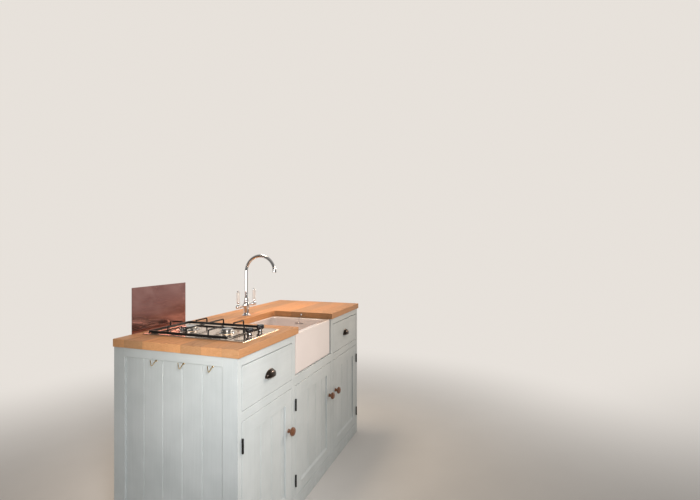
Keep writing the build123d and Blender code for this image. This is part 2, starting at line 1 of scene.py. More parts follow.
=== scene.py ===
import math
import random
import bpy
import bmesh
from mathutils import Matrix, Vector


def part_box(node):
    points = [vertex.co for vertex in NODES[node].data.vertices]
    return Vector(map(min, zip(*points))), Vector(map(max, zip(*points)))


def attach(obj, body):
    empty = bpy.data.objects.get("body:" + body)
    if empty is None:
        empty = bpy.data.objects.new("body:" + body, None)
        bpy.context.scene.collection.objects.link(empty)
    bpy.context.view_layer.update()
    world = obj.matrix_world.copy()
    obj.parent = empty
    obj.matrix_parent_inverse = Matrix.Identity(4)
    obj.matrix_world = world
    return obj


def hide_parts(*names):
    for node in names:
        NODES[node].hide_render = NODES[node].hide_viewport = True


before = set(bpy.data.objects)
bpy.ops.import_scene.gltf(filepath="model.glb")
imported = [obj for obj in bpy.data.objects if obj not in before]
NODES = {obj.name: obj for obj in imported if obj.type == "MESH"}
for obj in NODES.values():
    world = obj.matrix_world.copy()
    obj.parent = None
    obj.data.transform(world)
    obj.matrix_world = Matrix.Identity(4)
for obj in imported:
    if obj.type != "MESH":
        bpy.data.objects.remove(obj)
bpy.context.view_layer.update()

# All the lengths below are millimetres in the unit's own measure: x from the
# worktop's near end, y from its front edge, z from the floor.  They turn into
# metres in the shared frame when a mesh is finished.
MX, MY = 721.0, 298.0


def P(x, y, z):
    return Vector(((x - MX) / 1000, (y - MY) / 1000, z / 1000))


def mm(node):
    """a CAD node's box in the unit's own measure: x0, x1, y0, y1, z0, z1"""
    lo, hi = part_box(node)
    return (lo.x * 1000 + MX, hi.x * 1000 + MX, lo.y * 1000 + MY, hi.y * 1000 + MY, lo.z * 1000, hi.z * 1000)


# =========================================================== mesh building
AXES = {"x": (0, 1, 2), "y": (1, 0, 2), "z": (2, 0, 1)}   # along, then p and q
rng = random.Random(41)


class Piece:
    """a mesh under construction, with the grain and tone that its wood needs"""

    def __init__(self):
        self.bm = bmesh.new()
        self.gco = self.bm.verts.layers.float_vector.new("gco")
        self.tone = self.bm.verts.layers.float.new("tone")
        self.edge = self.bm.verts.layers.float.new("edge")

    def mark(self, verts, axis, seed=None, tone=None):
        seed = seed or Vector([rng.uniform(-7, 7) for _ in range(3)])
        tone = rng.random() if tone is None else tone
        a, p, q = AXES[axis]
        for v in verts:
            v[self.gco] = Vector((v.co[a], v.co[p], v.co[q])) / 1000 + seed
            v[self.tone] = tone

    def prism(self, section, axis, a, b, end=0.3, edges=None, tone=None):
        """the 2-D section (p, q) run along an axis from a to b, its end arrises eased"""
        ia, ip, iq = AXES[axis]
        rings = []
        inner = inset(section, end) if end else None
        stops = [(a, inner), (a + end, section), (b - end, section), (b, inner)] if end else [(a, section), (b, section)]
        for s, pts in stops:
            ring = []
            for i, (p, q) in enumerate(pts):
                co = [0.0, 0.0, 0.0]
                co[ia], co[ip], co[iq] = s, p, q
                v = self.bm.verts.new(co)
                if edges is not None:
                    v[self.edge] = edges[i]
                ring.append(v)
            rings.append(ring)
        n = len(section)
        for r0, r1 in zip(rings, rings[1:]):
            for i in range(n):
                self.bm.faces.new((r0[i], r0[(i + 1) % n], r1[(i + 1) % n], r1[i]))
        self.bm.faces.new(list(reversed(rings[0])))
        self.bm.faces.new(rings[-1])
        verts = [v for r in rings for v in r]
        self.mark(verts, axis, tone=tone)
        return verts

    def board(self, axis, a, b, p0, p1, q0, q1, radii=(0.6, 0.6, 0.6, 0.6), end=0.3, seg=3, tone=None):
        pts, edges = rounded(p0, p1, q0, q1, radii, seg)
        return self.prism(pts, axis, a, b, end, edges, tone)

    def lathe(self, profile, origin, direction=(0, 0, 1), n=48, axis="z", squash=1.0):
        """a turned shape: profile is (radius, height) pairs along the direction"""
        d = Vector(direction).normalized()
        turn = d.to_track_quat("Z", "Y").to_matrix()
        o = Vector(origin)
        rings, verts = [], []
        for r, h in profile:
            if r <= 1e-6:
                v = self.bm.verts.new(o + turn @ Vector((0, 0, h)))
                rings.append([v])
                verts.append(v)
                continue
            ring = []
            for i in range(n):
                t = 2 * math.pi * i / n
                ring.append(self.bm.verts.new(o + turn @ Vector((r * math.cos(t), r * squash * math.sin(t), h))))
            rings.append(ring)
            verts += ring
        for r0, r1 in zip(rings, rings[1:]):
            if len(r0) == 1 and len(r1) == 1:
                continue
            for i in range(n):
                j = (i + 1) % n
                if len(r0) == 1:
                    self.bm.faces.new((r0[0], r1[j], r1[i]))
                elif len(r1) == 1:
                    self.bm.faces.new((r0[i], r0[j], r1[0]))
                else:
                    self.bm.faces.new((r0[i], r0[j], r1[j], r1[i]))
        if len(rings[0]) > 1:
            self.bm.faces.new(list(reversed(rings[0])))
        if len(rings[-1]) > 1:
            self.bm.faces.new(rings[-1])
        self.mark(verts, axis)
        return verts

    def tube(self, pts, radius, n=16, ends="round", section=None):
        """a rod along a path; radius may be one number or one for each point"""
        pts = [Vector(p) for p in pts]
        radii = radius if isinstance(radius, (list, tuple)) else [radius] * len(pts)
        tangents = []
        for i in range(len(pts)):
            a, b = pts[max(0, i - 1)], pts[min(len(pts) - 1, i + 1)]
            tangents.append((b - a).normalized())
        up = Vector((0, 0, 1)) if abs(tangents[0].z) < 0.9 else Vector((0, 1, 0))
        side = tangents[0].cross(up).normalized()
        stations = [(p, r, t) for p, r, t in zip(pts, radii, tangents)]
        if ends == "round":
            first, last = stations[0], stations[-1]
            caps0 = [(first[0] - first[2] * first[1] * math.sin(a), first[1] * math.cos(a), first[2]) for a in (1.2, 0.8, 0.4)]
            caps1 = [(last[0] + last[2] * last[1] * math.sin(a), last[1] * math.cos(a), last[2]) for a in (0.4, 0.8, 1.2)]
            stations = caps0 + stations + caps1
        rings, verts = [], []
        for p, r, t in stations:
            side = (side - t * side.dot(t)).normalized()
            other = t.cross(side)
            ring = []
            for i in range(n):
                a = 2 * math.pi * i / n
                if section is None:
                    off = side * math.cos(a) * r + other * math.sin(a) * r
                else:
                    off = side * section[i][0] + other * section[i][1]
                ring.append(self.bm.verts.new(p + off))
            rings.append(ring)
            verts += ring
        for r0, r1 in zip(rings, rings[1:]):
            for i in range(n):
                j = (i + 1) % n
                self.bm.faces.new((r0[i], r0[j], r1[j], r1[i]))
        if ends == "round":
            for ring, p in ((rings[0], stations[0][0] - stations[0][2] * stations[3][1] * 0.07),
                            (rings[-1], stations[-1][0] + stations[-1][2] * stations[-4][1] * 0.07)):
                tip = self.bm.verts.new(p)
                verts.append(tip)
                for i in range(n):
                    self.bm.faces.new((ring[i], ring[(i + 1) % n], tip))
        else:
            self.bm.faces.new(list(reversed(rings[0])))
            self.bm.faces.new(rings[-1])
        self.mark(verts, "z")
        return verts

    def ball(self, centre, r, u=24, v=16, scale=(1, 1, 1)):
        m = Matrix.Translation(Vector(centre)) @ Matrix.Diagonal((*scale, 1))
        made = bmesh.ops.create_uvsphere(self.bm, u_segments=u, v_segments=v, radius=r, matrix=m)
        self.mark(made["verts"], "z")
        return made["verts"]

    def grid(self, rows, close=False):
        """quads between rows of points"""
        made = [[self.bm.verts.new(Vector(p)) for p in row] for row in rows]
        for r0, r1 in zip(made, made[1:]):
            m = len(r0)
            for i in range(m if close else m - 1):
                j = (i + 1) % m
                self.bm.faces.new((r0[i], r0[j], r1[j], r1[i]))
        verts = [v for r in made for v in r]
        self.mark(verts, "x")
        return made

    def done(self, name, body, material, replaces=(), sharp=35, weld=0.0, boards=False):
        if weld:
            bmesh.ops.remove_doubles(self.bm, verts=self.bm.verts, dist=weld)
        bmesh.ops.recalc_face_normals(self.bm, faces=self.bm.faces)
        for v in self.bm.verts:
            v.co = P(*v.co)
        me = bpy.data.meshes.new(name)
        self.bm.to_mesh(me)
        self.bm.free()
        for poly in me.polygons:
            poly.use_smooth = True
        me.set_sharp_from_angle(angle=math.radians(sharp))
        ob = bpy.data.objects.new(name, me)
        bpy.context.scene.collection.objects.link(ob)
        for m in material if isinstance(material, (list, tuple)) else [material]:
            me.materials.append(m)
        if boards:
            # a wide face stays flat beside its eased edges
            even = ob.modifiers.new("even", "WEIGHTED_NORMAL")
            even.keep_sharp = True
            even.weight = 100
        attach(ob, body)
        if replaces:
            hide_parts(*replaces)
        return ob


def rounded(p0, p1, q0, q1, radii, seg=3):
    """a rectangle with its four corners rounded, and how much of an edge each point is"""
    pts, edges = [], []
    for (cp, cq, sp, sq, start), r in zip(
        ((p0, q0, 1, 1, 180), (p1, q0, -1, 1, 270), (p1, q1, -1, -1, 0), (p0, q1, 1, -1, 90)), radii
    ):
        if r < 0.05:
            pts.append((cp, cq))
            edges.append(1.0)
            continue
        op, oq = cp + sp * r, cq + sq * r
        for i in range(seg + 1):
            a = math.radians(start + 90 * i / seg)
            pts.append((op + r * math.cos(a), oq + r * math.sin(a)))
            edges.append(0.0 if i in (0, seg) else 1.0)
    return pts, edges


def inset(section, d):
    """the section taken in by d on every side"""
    n = len(section)
    area = sum(section[i][0] * section[(i + 1) % n][1] - section[(i + 1) % n][0] * section[i][1] for i in range(n))
    s = 1 if area > 0 else -1
    out = []
    for i in range(n):
        a, b, c = (Vector((*section[k % n], 0)) for k in (i - 1, i, i + 1))
        e0, e1 = (b - a).normalized(), (c - b).normalized()
        n0, n1 = Vector((-e0.y, e0.x, 0)) * s, Vector((-e1.y, e1.x, 0)) * s
        m = n0 + n1
        if m.length < 1e-6:
            m = n0
        m = m.normalized()
        k = d / max(0.35, m.dot(n0))
        out.append((b.x + m.x * k, b.y + m.y * k))
    return out


def bent(points, radius, seg=6):
    """a path of straight runs with its corners rounded"""
    pts = [Vector(p) for p in points]
    radii = radius if isinstance(radius, (list, tuple)) else [radius] * (len(pts) - 2)
    out = [pts[0]]
    for i in range(1, len(pts) - 1):
        a, b, c = pts[i - 1], pts[i], pts[i + 1]
        u, v = (a - b).normalized(), (c - b).normalized()
        angle = math.acos(max(-1, min(1, u.dot(v))))
        reach = radii[i - 1] / math.tan(angle / 2)
        reach = min(reach, (a - b).length * 0.49, (c - b).length * 0.49)
        r = reach * math.tan(angle / 2)
        start, stop = b + u * reach, b + v * reach
        middle = b + (u + v).normalized() * (r / math.sin(angle / 2))
        for k in range(seg + 1):
            t = k / seg
            w = (start - middle).lerp(stop - middle, t)
            # even steps along the arc
            total = math.pi - angle
            s0 = (start - middle).normalized()
            s1 = (stop - middle).normalized()
            if total > 1e-5:
                w = (s0 * math.sin((1 - t) * total) + s1 * math.sin(t * total)) / math.sin(total) if abs(math.sin(total)) > 1e-5 else w.normalized()
            else:
                w = w.normalized()
            out.append(middle + w * r)
    out.append(pts[-1])
    return out


def smooth(points, steps=5):
    """a curve through the points, for turned profiles"""
    pts = [Vector((*p, 0)) for p in points]
    out = []
    for i in range(len(pts) - 1):
        p0, p1, p2, p3 = pts[max(0, i - 1)], pts[i], pts[i + 1], pts[min(len(pts) - 1, i + 2)]
        for k in range(steps):
            t = k / steps
            q = 0.5 * ((2 * p1) + (-p0 + p2) * t + (2 * p0 - 5 * p1 + 4 * p2 - p3) * t * t + (-p0 + 3 * p1 - 3 * p2 + p3) * t ** 3)
            out.append((max(0.0, q.x), q.y))
    out.append((pts[-1].x, pts[-1].y))
    return out


# =============================================================== materials
class Shader:
    def __init__(self, name):
        self.mat = bpy.data.materials.new(name)
        self.mat.use_nodes = True
        self.tree = self.mat.node_tree
        self.tree.nodes.clear()
        out = self.tree.nodes.new("ShaderNodeOutputMaterial")
        self.bsdf = self.tree.nodes.new("ShaderNodeBsdfPrincipled")
        self.tree.links.new(self.bsdf.outputs[0], out.inputs[0])

    def set(self, **values):
        for key, value in values.items():
            socket = self.bsdf.inputs[key.replace("_", " ")]
            self.feed(socket, value)
        return self

    def feed(self, socket, value):
        if isinstance(value, bpy.types.NodeSocket):
            self.tree.links.new(value, socket)
        elif value is not None:
            if isinstance(value, (tuple, list)) and len(value) == 3 and socket.type == "RGBA":
                value = (*value, 1.0)
            socket.default_value = value

    def node(self, kind, **props):
        n = self.tree.nodes.new(kind)
        for k, v in props.items():
            setattr(n, k, v)
        return n

    def attr(self, name):
        return self.node("ShaderNodeAttribute", attribute_name=name)

    def here(self):
        return self.node("ShaderNodeTexCoord").outputs["Object"]

    def normal(self):
        return self.node("ShaderNodeNewGeometry").outputs["Normal"]

    def math(self, op, a, b=None, c=None, clamp=False):
        n = self.node("ShaderNodeMath", operation=op, use_clamp=clamp)
        for i, v in enumerate((a, b, c)):
            if v is not None:
                self.feed(n.inputs[i], v)
        return n.outputs[0]

    def vmath(self, op, a, b=None, scale=None):
        n = self.node("ShaderNodeVectorMath", operation=op)
        self.feed(n.inputs[0], a)
        if b is not None:
            self.feed(n.inputs[1], b)
        if scale is not None:
            self.feed(n.inputs[3], scale)
        return n.outputs["Value"] if op in ("LENGTH", "DISTANCE", "DOT_PRODUCT") else n.outputs["Vector"]

    def scaled(self, vec, s):
        return self.vmath("MULTIPLY", vec, s)

    def split(self, vec):
        n = self.node("ShaderNodeSeparateXYZ")
        self.feed(n.inputs[0], vec)
        return n.outputs[0], n.outputs[1], n.outputs[2]

    def join(self, x, y, z):
        n = self.node("ShaderNodeCombineXYZ")
        for i, v in enumerate((x, y, z)):
            self.feed(n.inputs[i], v)
        return n.outputs[0]

    def noise(self, vec, scale=1.0, detail=2.0, rough=0.5, distortion=0.0):
        n = self.node("ShaderNodeTexNoise")
        self.feed(n.inputs["Vector"], vec)
        n.inputs["Scale"].default_value = scale
        n.inputs["Detail"].default_value = detail
        n.inputs["Roughness"].default_value = rough
        n.inputs["Distortion"].default_value = distortion
        return n.outputs["Fac"]

    def cells(self, vec, scale=1.0, feature="F1", out="Distance", randomness=1.0):
        n = self.node("ShaderNodeTexVoronoi", feature=feature)
        self.feed(n.inputs["Vector"], vec)
        n.inputs["Scale"].default_value = scale
        n.inputs["Randomness"].default_value = randomness
        return n.outputs[out]

    def chance(self, value):
        n = self.node("ShaderNodeTexWhiteNoise", noise_dimensions="1D")
        self.feed(n.inputs["W"], value)
        return n.outputs["Value"], n.outputs["Color"]

    def span(self, value, a, b, c=0.0, d=1.0, smooth=False):
        n = self.node("ShaderNodeMapRange")
        n.interpolation_type = "SMOOTHSTEP" if smooth else "LINEAR"
        self.feed(n.inputs[0], value)
        for i, v in enumerate((a, b, c, d)):
            n.inputs[i + 1].default_value = v
        return n.outputs[0]

    def ramp(self, fac, stops):
        n = self.node("ShaderNodeValToRGB")
        self.feed(n.inputs[0], fac)
        cr = n.color_ramp
        while len(cr.elements) < len(stops):
            cr.elements.new(0.5)
        for el, (pos, col) in zip(cr.elements, stops):
            el.position = pos
            el.color = (*col, 1.0) if len(col) == 3 else col
        return n.outputs[0]

    def mix(self, fac, a, b, kind="MIX"):
        n = self.node("ShaderNodeMix", data_type="RGBA", blend_type=kind)
        self.feed(n.inputs[0], fac)
        self.feed(n.inputs[6], a)
        self.feed(n.inputs[7], b)
        return n.outputs[2]

    def bump(self, height, distance, strength=1.0, after=None):
        n = self.node("ShaderNodeBump")
        n.inputs["Strength"].default_value = strength
        n.inputs["Distance"].default_value = distance
        self.feed(n.inputs["Height"], height)
        if after is not None:
            self.feed(n.inputs["Normal"], after)
        return n.outputs[0]


def painted(name="cabinet_paint_finish"):
    """eggshell paint brushed on along each board's grain"""
    s = Shader(name)
    g = s.attr("gco").outputs["Vector"]
    tone = s.attr("tone").outputs["Fac"]
    edge = s.attr("edge").outputs["Fac"]
    here = s.here()
    cloud = s.noise(here, 5.0, 3, 0.55)
    fine = s.noise(here, 60.0, 3, 0.6)
    strokes = s.noise(s.scaled(g, (9.0, 420.0, 420.0)), 1.0, 3, 0.6, 0.25)
    wide = s.noise(s.scaled(g, (4.0, 90.0, 90.0)), 1.0, 2, 0.5, 0.4)
    grain = s.noise(s.scaled(g, (2.2, 130.0, 130.0)), 1.0, 4, 0.65, 0.6)
    lift = s.math("ADD", s.span(cloud, 0.3, 0.7, -0.035, 0.035), s.span(strokes, 0.3, 0.7, -0.02, 0.02))
    lift = s.math("ADD", lift, s.span(wide, 0.3, 0.7, -0.02, 0.02))
    lift = s.math("ADD", lift, s.span(tone, 0.0, 1.0, -0.018, 0.018))
    lift = s.math("ADD", lift, 1.0)
    base = s.mix(s.span(cloud, 0.35, 0.65), (0.560, 0.605, 0.605), (0.600, 0.640, 0.640))
    col = s.vmath("MULTIPLY", base, s.join(lift, lift, lift))
    # the paint is thin on the arrises, and soiled low down
    worn = s.math("MULTIPLY", edge, s.span(fine, 0.52, 0.72, 0.0, 0.55))
    col = s.mix(worn, col, (0.53, 0.52, 0.46))
    _, _, z = s.split(here)
    low = s.math("MULTIPLY", s.span(z, 0.0, 0.09, 1.0, 0.0, True), s.span(s.noise(here, 24.0, 4, 0.6), 0.4, 0.75, 0.0, 0.35))
    col = s.mix(low, col, (0.36, 0.35, 0.31))
    rough = s.math("ADD", s.span(strokes, 0.25, 0.75, 0.37, 0.47), s.span(cloud, 0.3, 0.7, -0.03, 0.03))
    h = s.math("ADD", s.math("MULTIPLY", strokes, 0.6), s.math("MULTIPLY", grain, 0.7))
    h = s.math("ADD", h, s.math("MULTIPLY", wide, 1.1))
    s.set(Base_Color=col, Roughness=rough, Normal=s.bump(h, 0.00016, 1.0))
    s.set(Specular_IOR_Level=0.4)
    return s.mat


def oak(name="oiled_oak", coords=None, staves=True, shade=1.0):
    """solid oak: growth rings, open pores and fibre from one block of grain, so faces and ends agree"""
    s = Shader(name)
    here = s.here()
    x, y, z = s.split(here)
    pitch = 0.097
    k = s.math("FLOOR", s.math("DIVIDE", s.math("ADD", y, 0.223), pitch))
    rand, randc = s.chance(k)
    rx, ry, rz = s.split(randc)
    mid = s.math("ADD", s.math("MULTIPLY", k, pitch), -0.223 + pitch / 2)
    yl = s.math("SUBTRACT", y, mid)
    shift = s.vmath("MULTIPLY", randc, (31.0, 17.0, 23.0))
    local = s.vmath("ADD", s.join(x, yl, z), shift)
    # the pith of each stave lies under or over the board
    py = s.span(ry, 0.0, 1.0, -0.045, 0.045)
    up = s.math("GREATER_THAN", rx, 0.5)
    pz = s.math("ADD", 0.883, s.math("MULTIPLY", s.span(rz, 0.0, 1.0, 0.03, 0.085), s.math("SUBTRACT", s.math("MULTIPLY", up, 2.0), 1.0)))
    wander = s.noise(s.scaled(local, (1.1, 5.0, 5.0)), 1.0, 2, 0.5)
    wander2 = s.noise(s.scaled(local, (4.5, 26.0, 26.0)), 1.0, 2, 0.5)
    dy = s.math("SUBTRACT", yl, py)
    dz = s.math("SUBTRACT", z, pz)
    r = s.math("SQRT", s.math("ADD", s.math("MULTIPLY", dy, dy), s.math("MULTIPLY", dz, dz)))
    r = s.math("ADD", r, s.span(wander, 0.2, 0.8, -0.02, 0.02))
    r = s.math("ADD", r, s.span(wander2, 0.2, 0.8, -0.0013, 0.0013))
    ring = s.math("MULTIPLY", r, 1.0 / 0.0042)
    f = s.math("FRACT", ring)
    early = s.ramp(f, [(0.0, (0.35,) * 3), (0.06, (1.0,) * 3), (0.30, (0.55,) * 3), (0.62, (0.12,) * 3), (1.0, (0.0,) * 3)])
    year, _ = s.chance(s.math("FLOOR", ring))
    pores = s.noise(s.scaled(local, (38.0, 1500.0, 1500.0)), 1.0, 1, 0.5)
    pores = s.math("MULTIPLY", s.span(pores, 0.60, 0.70), s.math("ADD", s.math("MULTIPLY", early, 0.75), 0.22))
    fibre = s.noise(s.scaled(local, (14.0, 620.0, 620.0)), 1.0, 3, 0.6)
    streak = s.noise(s.scaled(local, (2.6, 75.0, 75.0)), 1.0, 3, 0.55)
    cloud = s.noise(s.scaled(local, (3.0, 9.0, 9.0)), 1.0, 3, 0.5)
    fleck = s.noise(s.scaled(local, (60.0, 300.0, 60.0)), 1.0, 1, 0.4, 0.3)
    fleck = s.math("MULTIPLY", s.span(fleck, 0.66, 0.72), 0.35)
    light, deep = (0.695, 0.348, 0.160), (0.445, 0.196, 0.082)
    col = s.mix(s.math("MULTIPLY", early, s.span(year, 0.0, 1.0, 0.35, 0.85)), light, deep)
    col = s.mix(s.span(streak, 0.3, 0.7, 0.0, 0.45), col, (0.520, 0.245, 0.092))
    col = s.mix(fleck, col, (0.70, 0.40, 0.19))
    col = s.mix(s.math("MULTIPLY", pores, 0.62), col, (0.205, 0.080, 0.028))
    # staves differ in tone; end-grain faces are darkened, partly the real darker end grain and partly painted shade for
    # the cut-out edges, and the outer ends are lifted paler again, a painted light
    lift = s.math("ADD", s.span(rand, 0.0, 1.0, 0.88, 1.10), s.span(cloud, 0.3, 0.7, -0.06, 0.06))
    lift = s.math("ADD", lift, s.span(fibre, 0.3, 0.7, -0.05, 0.05))
    nx, _, _ = s.split(s.normal())
    ends = s.span(s.math("ABSOLUTE", nx), 0.6, 0.9, 0.0, 1.0)
    outer = s.math("MULTIPLY", ends, s.math("GREATER_THAN", s.math("ABSOLUTE", x), 0.70))
    # painted shade: every end-grain face made darker, which shows at the cut-out edges
    lift = s.math("MULTIPLY", lift, s.math("SUBTRACT", 1.0, s.math("MULTIPLY", ends, 0.30)))
    # painted light: the outer end faces lifted paler again
    lift = s.math("MULTIPLY", lift, s.math("ADD", 1.0, s.math("MULTIPLY", outer, 0.56)))
    lift = s.math("MULTIPLY", lift, shade)
    warm = s.math("SUBTRACT", s.span(rand, 0.0, 1.0, 0.96, 1.05), s.math("MULTIPLY", ends, 0.07))
    col = s.vmath("MULTIPLY", col, s.join(s.math("MULTIPLY", lift, warm), lift, s.math("DIVIDE", lift, warm)))
    # glue lines
    seam = s.math("ABSOLUTE", s.math("SUBTRACT", s.math("ABSOLUTE", yl), pitch / 2))
    seam = s.span(seam, 0.0, 0.0006, 1.0, 0.0)
    col = s.mix(s.math("MULTIPLY", seam, 0.55), col, (0.20, 0.09, 0.035))
    rough = s.math("ADD", s.span(cloud, 0.3, 0.7, 0.40, 0.50), s.math("MULTIPLY", pores, 0.22))
    rough = s.math("ADD", rough, s.span(fibre, 0.3, 0.7, -0.03, 0.03))
    h = s.math("SUBTRACT", s.math("MULTIPLY", fibre, 0.35), pores)
    h = s.math("SUBTRACT", h, s.math("MULTIPLY", seam, 0.6))
    h = s.math("SUBTRACT", h, s.math("MULTIPLY", early, 0.18))
    s.set(Base_Color=col, Roughness=rough, Normal=s.bump(h, 0.00012, 1.0))
    s.set(Specular_IOR_Level=0.14)
    return s.mat


def plain_wood(name, light, deep, rough=0.5, coat=0.0, ring_mm=6.0, attribute=True, bump=0.00008):
    """close-grained timber or veneer, along the board's grain"""
    s = Shader(name)
    g = s.attr("gco").outputs["Vector"] if attribute else s.here()
    if not attribute:
        # boards stand or lie: take the grain up the standing ones
        x, y, z = s.split(g)
        g = s.join(z, x, y)
    wander = s.noise(s.scaled(g, (0.9, 7.0, 7.0)), 1.0, 3, 0.5)
    u, v, w = s.split(g)
    r = s.math("ADD", s.math("ADD", v, s.math("MULTIPLY", w, 0.6)), s.span(wander, 0.2, 0.8, -0.04, 0.04))
    f = s.math("FRACT", s.math("MULTIPLY", r, 1000.0 / ring_mm))
    band = s.ramp(f, [(0.0, (0.9,) * 3), (0.25, (0.35,) * 3), (0.8, (0.1,) * 3), (1.0, (0.9,) * 3)])
    fibre = s.noise(s.scaled(g, (18.0, 700.0, 700.0)), 1.0, 3, 0.6)
    streak = s.noise(s.scaled(g, (3.0, 90.0, 90.0)), 1.0, 3, 0.55)
    cloud = s.noise(s.scaled(g, (4.0, 8.0, 8.0)), 1.0, 3, 0.5)
    col = s.mix(s.math("MULTIPLY", band, 0.5), light, deep)
    col = s.mix(s.span(streak, 0.35, 0.7, 0.0, 0.5), col, deep)
    lift = s.math("ADD", s.span(cloud, 0.3, 0.7, 0.93, 1.06), s.span(fibre, 0.3, 0.7, -0.06, 0.06))
    if attribute:
        lift = s.math("ADD", lift, s.span(s.attr("tone").outputs["Fac"], 0.0, 1.0, -0.05, 0.05))
    col = s.vmath("MULTIPLY", col, s.join(lift, lift, lift))
    ro = s.math("ADD", s.span(fibre, 0.3, 0.7, rough - 0.05, rough + 0.06), s.span(cloud, 0.3, 0.7, -0.03, 0.03))
    s.set(Base_Color=col, Roughness=ro, Normal=s.bump(s.math("ADD", fibre, s.math("MULTIPLY", band, 0.3)), bump, 1.0))
    if coat:
        s.set(Coat_Weight=coat, Coat_Roughness=0.15)
    return s.mat


def ceramic():
    s = Shader("sink_glaze")
    here = s.here()
    cloud = s.noise(here, 6.0, 3, 0.5)
    pits = s.cells(here, 260.0)
    pits = s.span(pits, 0.0, 0.10, 1.0, 0.0)
    rare = s.math("GREATER_THAN", s.noise(here, 34.0, 1, 0.5), 0.66)
    pits = s.math("MULTIPLY", pits, rare)
    col = s.mix(s.span(cloud, 0.3, 0.7), (0.785, 0.700, 0.662), (0.820, 0.735, 0.697))
    # a faint film towards the bottom of the bowl
    x, y, z = s.split(here)
    inside = s.math("MULTIPLY", s.span(z, 0.690, 0.760, 1.0, 0.0, True), s.span(s.math("ABSOLUTE", s.math("ADD", y, 0.093)), 0.160, 0.176, 1.0, 0.0))
    col = s.mix(s.math("MULTIPLY", inside, s.span(s.noise(here, 18.0, 4, 0.6), 0.35, 0.75, 0.0, 0.35)), col, (0.66, 0.63, 0.57))
    col = s.mix(s.math("MULTIPLY", pits, 0.5), col, (0.45, 0.38, 0.30))
    wave = s.noise(here, 11.0, 2, 0.4)
    rough = s.span(s.noise(here, 22.0, 3, 0.5), 0.3, 0.7, 0.07, 0.13)
    h = s.math("SUBTRACT", s.math("MULTIPLY", wave, 6.0), pits)
    s.set(Base_Color=col, Roughness=rough, Normal=s.bump(h, 0.0001, 1.0))
    s.set(Coat_Weight=0.6, Coat_Roughness=0.03, IOR=1.52)
    return s.mat


def chrome(name="tap_chrome_finish", base=(0.72, 0.72, 0.73), rough=0.06):
    s = Shader(name)
    here = s.here()
    smear = s.noise(s.scaled(here, (30.0, 30.0, 11.0)), 1.0, 4, 0.6, 0.5)
    spots = s.span(s.cells(here, 190.0), 0.0, 0.16, 1.0, 0.0)
    spots = s.math("MULTIPLY", spots, s.math("GREATER_THAN", s.noise(here, 42.0, 2, 0.5), 0.60))
    r = s.math("ADD", s.span(smear, 0.35, 0.75, rough - 0.02, rough + 0.07), s.math("MULTIPLY", spots, 0.16))
    col = s.mix(s.math("MULTIPLY", spots, 0.3), base, (0.70, 0.69, 0.66))
    s.set(Base_Color=col, Metallic=1.0, Roughness=r, Normal=s.bump(smear, 0.00001, 1.0))
    return s.mat


def brushed(name, base, along=(3.0, 900.0, 900.0), rough=0.24, depth=0.00002, cloud_to=None):
    """rolled and brushed sheet, its lines along one direction"""
    s = Shader(name)
    here = s.here()
    lines = s.noise(s.scaled(here, along), 1.0, 3, 0.65)
    smear = s.noise(here, 13.0, 4, 0.6, 0.6)
    col = s.mix(s.span(smear, 0.3, 0.7), base, cloud_to or tuple(c * 0.92 for c in base))
    r = s.math("ADD", s.span(lines, 0.25, 0.75, rough - 0.06, rough + 0.07), s.span(smear, 0.3, 0.75, -0.03, 0.06))
    s.set(Base_Color=col, Metallic=1.0, Roughness=r, Normal=s.bump(lines, depth, 1.0))
    s.set(Anisotropic=0.45)
    return s.mat


def dull(name, base, rough, metal=0.0, speck=0.00004, scale=420.0, coat=0.0, vary=0.12, gloss=0.5):
    """cast, enamelled or moulded surfaces"""
    s = Shader(name)
    here = s.here()
    cloud = s.noise(here, 30.0, 3, 0.55)
    grit = s.noise(here, scale, 2, 0.6)
    lift = s.math("ADD", s.span(cloud, 0.3, 0.7, 1.0 - vary, 1.0 + vary), s.span(grit, 0.3, 0.7, -vary / 2, vary / 2))
    col = s.vmath("MULTIPLY", base, s.join(lift, lift, lift))
    r = s.math("ADD", s.span(cloud, 0.3, 0.7, rough - 0.05, rough + 0.06), s.span(grit, 0.3, 0.7, -0.03, 0.03))
    s.set(Base_Color=col, Metallic=metal, Roughness=r, Normal=s.bump(grit, speck, 1.0), Specular_IOR_Level=gloss)
    if coat:
        s.set(Coat_Weight=coat, Coat_Roughness=0.1)
    return s.mat


def bronze():
    """dark patinated metal, rubbed brighter where hands touch it"""
    s = Shader("antique_bronze_finish")
    here = s.here()
    edge = s.attr("edge").outputs["Fac"]
    patches = s.noise(here, 70.0, 4, 0.6)
    grit = s.noise(here, 520.0, 2, 0.6)
    rub = s.math("MAXIMUM", s.math("MULTIPLY", edge, s.span(patches, 0.35, 0.65, 0.3, 1.0)), s.span(patches, 0.62, 0.8, 0.0, 0.5))
    col = s.mix(rub, (0.045, 0.034, 0.028), (0.30, 0.21, 0.14))
    r = s.math("ADD", s.span(patches, 0.3, 0.7, 0.22, 0.34), s.math("MULTIPLY", rub, -0.06))
    s.set(Base_Color=col, Metallic=0.9, Roughness=r, Normal=s.bump(grit, 0.00003, 1.0))
    return s.mat


def brass():
    s = Shader("hook_brass_finish")
    here = s.here()
    n = s.noise(here, 120.0, 3, 0.6)
    col = s.mix(s.span(n, 0.35, 0.7), (0.74, 0.57, 0.30), (0.50, 0.36, 0.17))
    s.set(Base_Color=col, Metallic=1.0, Roughness=s.span(n, 0.3, 0.7, 0.18, 0.32), Normal=s.bump(n, 0.00002, 1.0))
    return s.mat


def flat_colour(name, base, rough=0.5, metal=0.0, jitter=0.06):
    s = Shader(name)
    n = s.noise(s.here(), 90.0, 3, 0.55)
    lift = s.span(n, 0.3, 0.7, 1 - jitter, 1 + jitter)
    s.set(Base_Color=s.vmath("MULTIPLY", base, s.join(lift, lift, lift)), Metallic=metal, Roughness=s.span(n, 0.3, 0.7, rough - 0.04, rough + 0.04))
    return s.mat


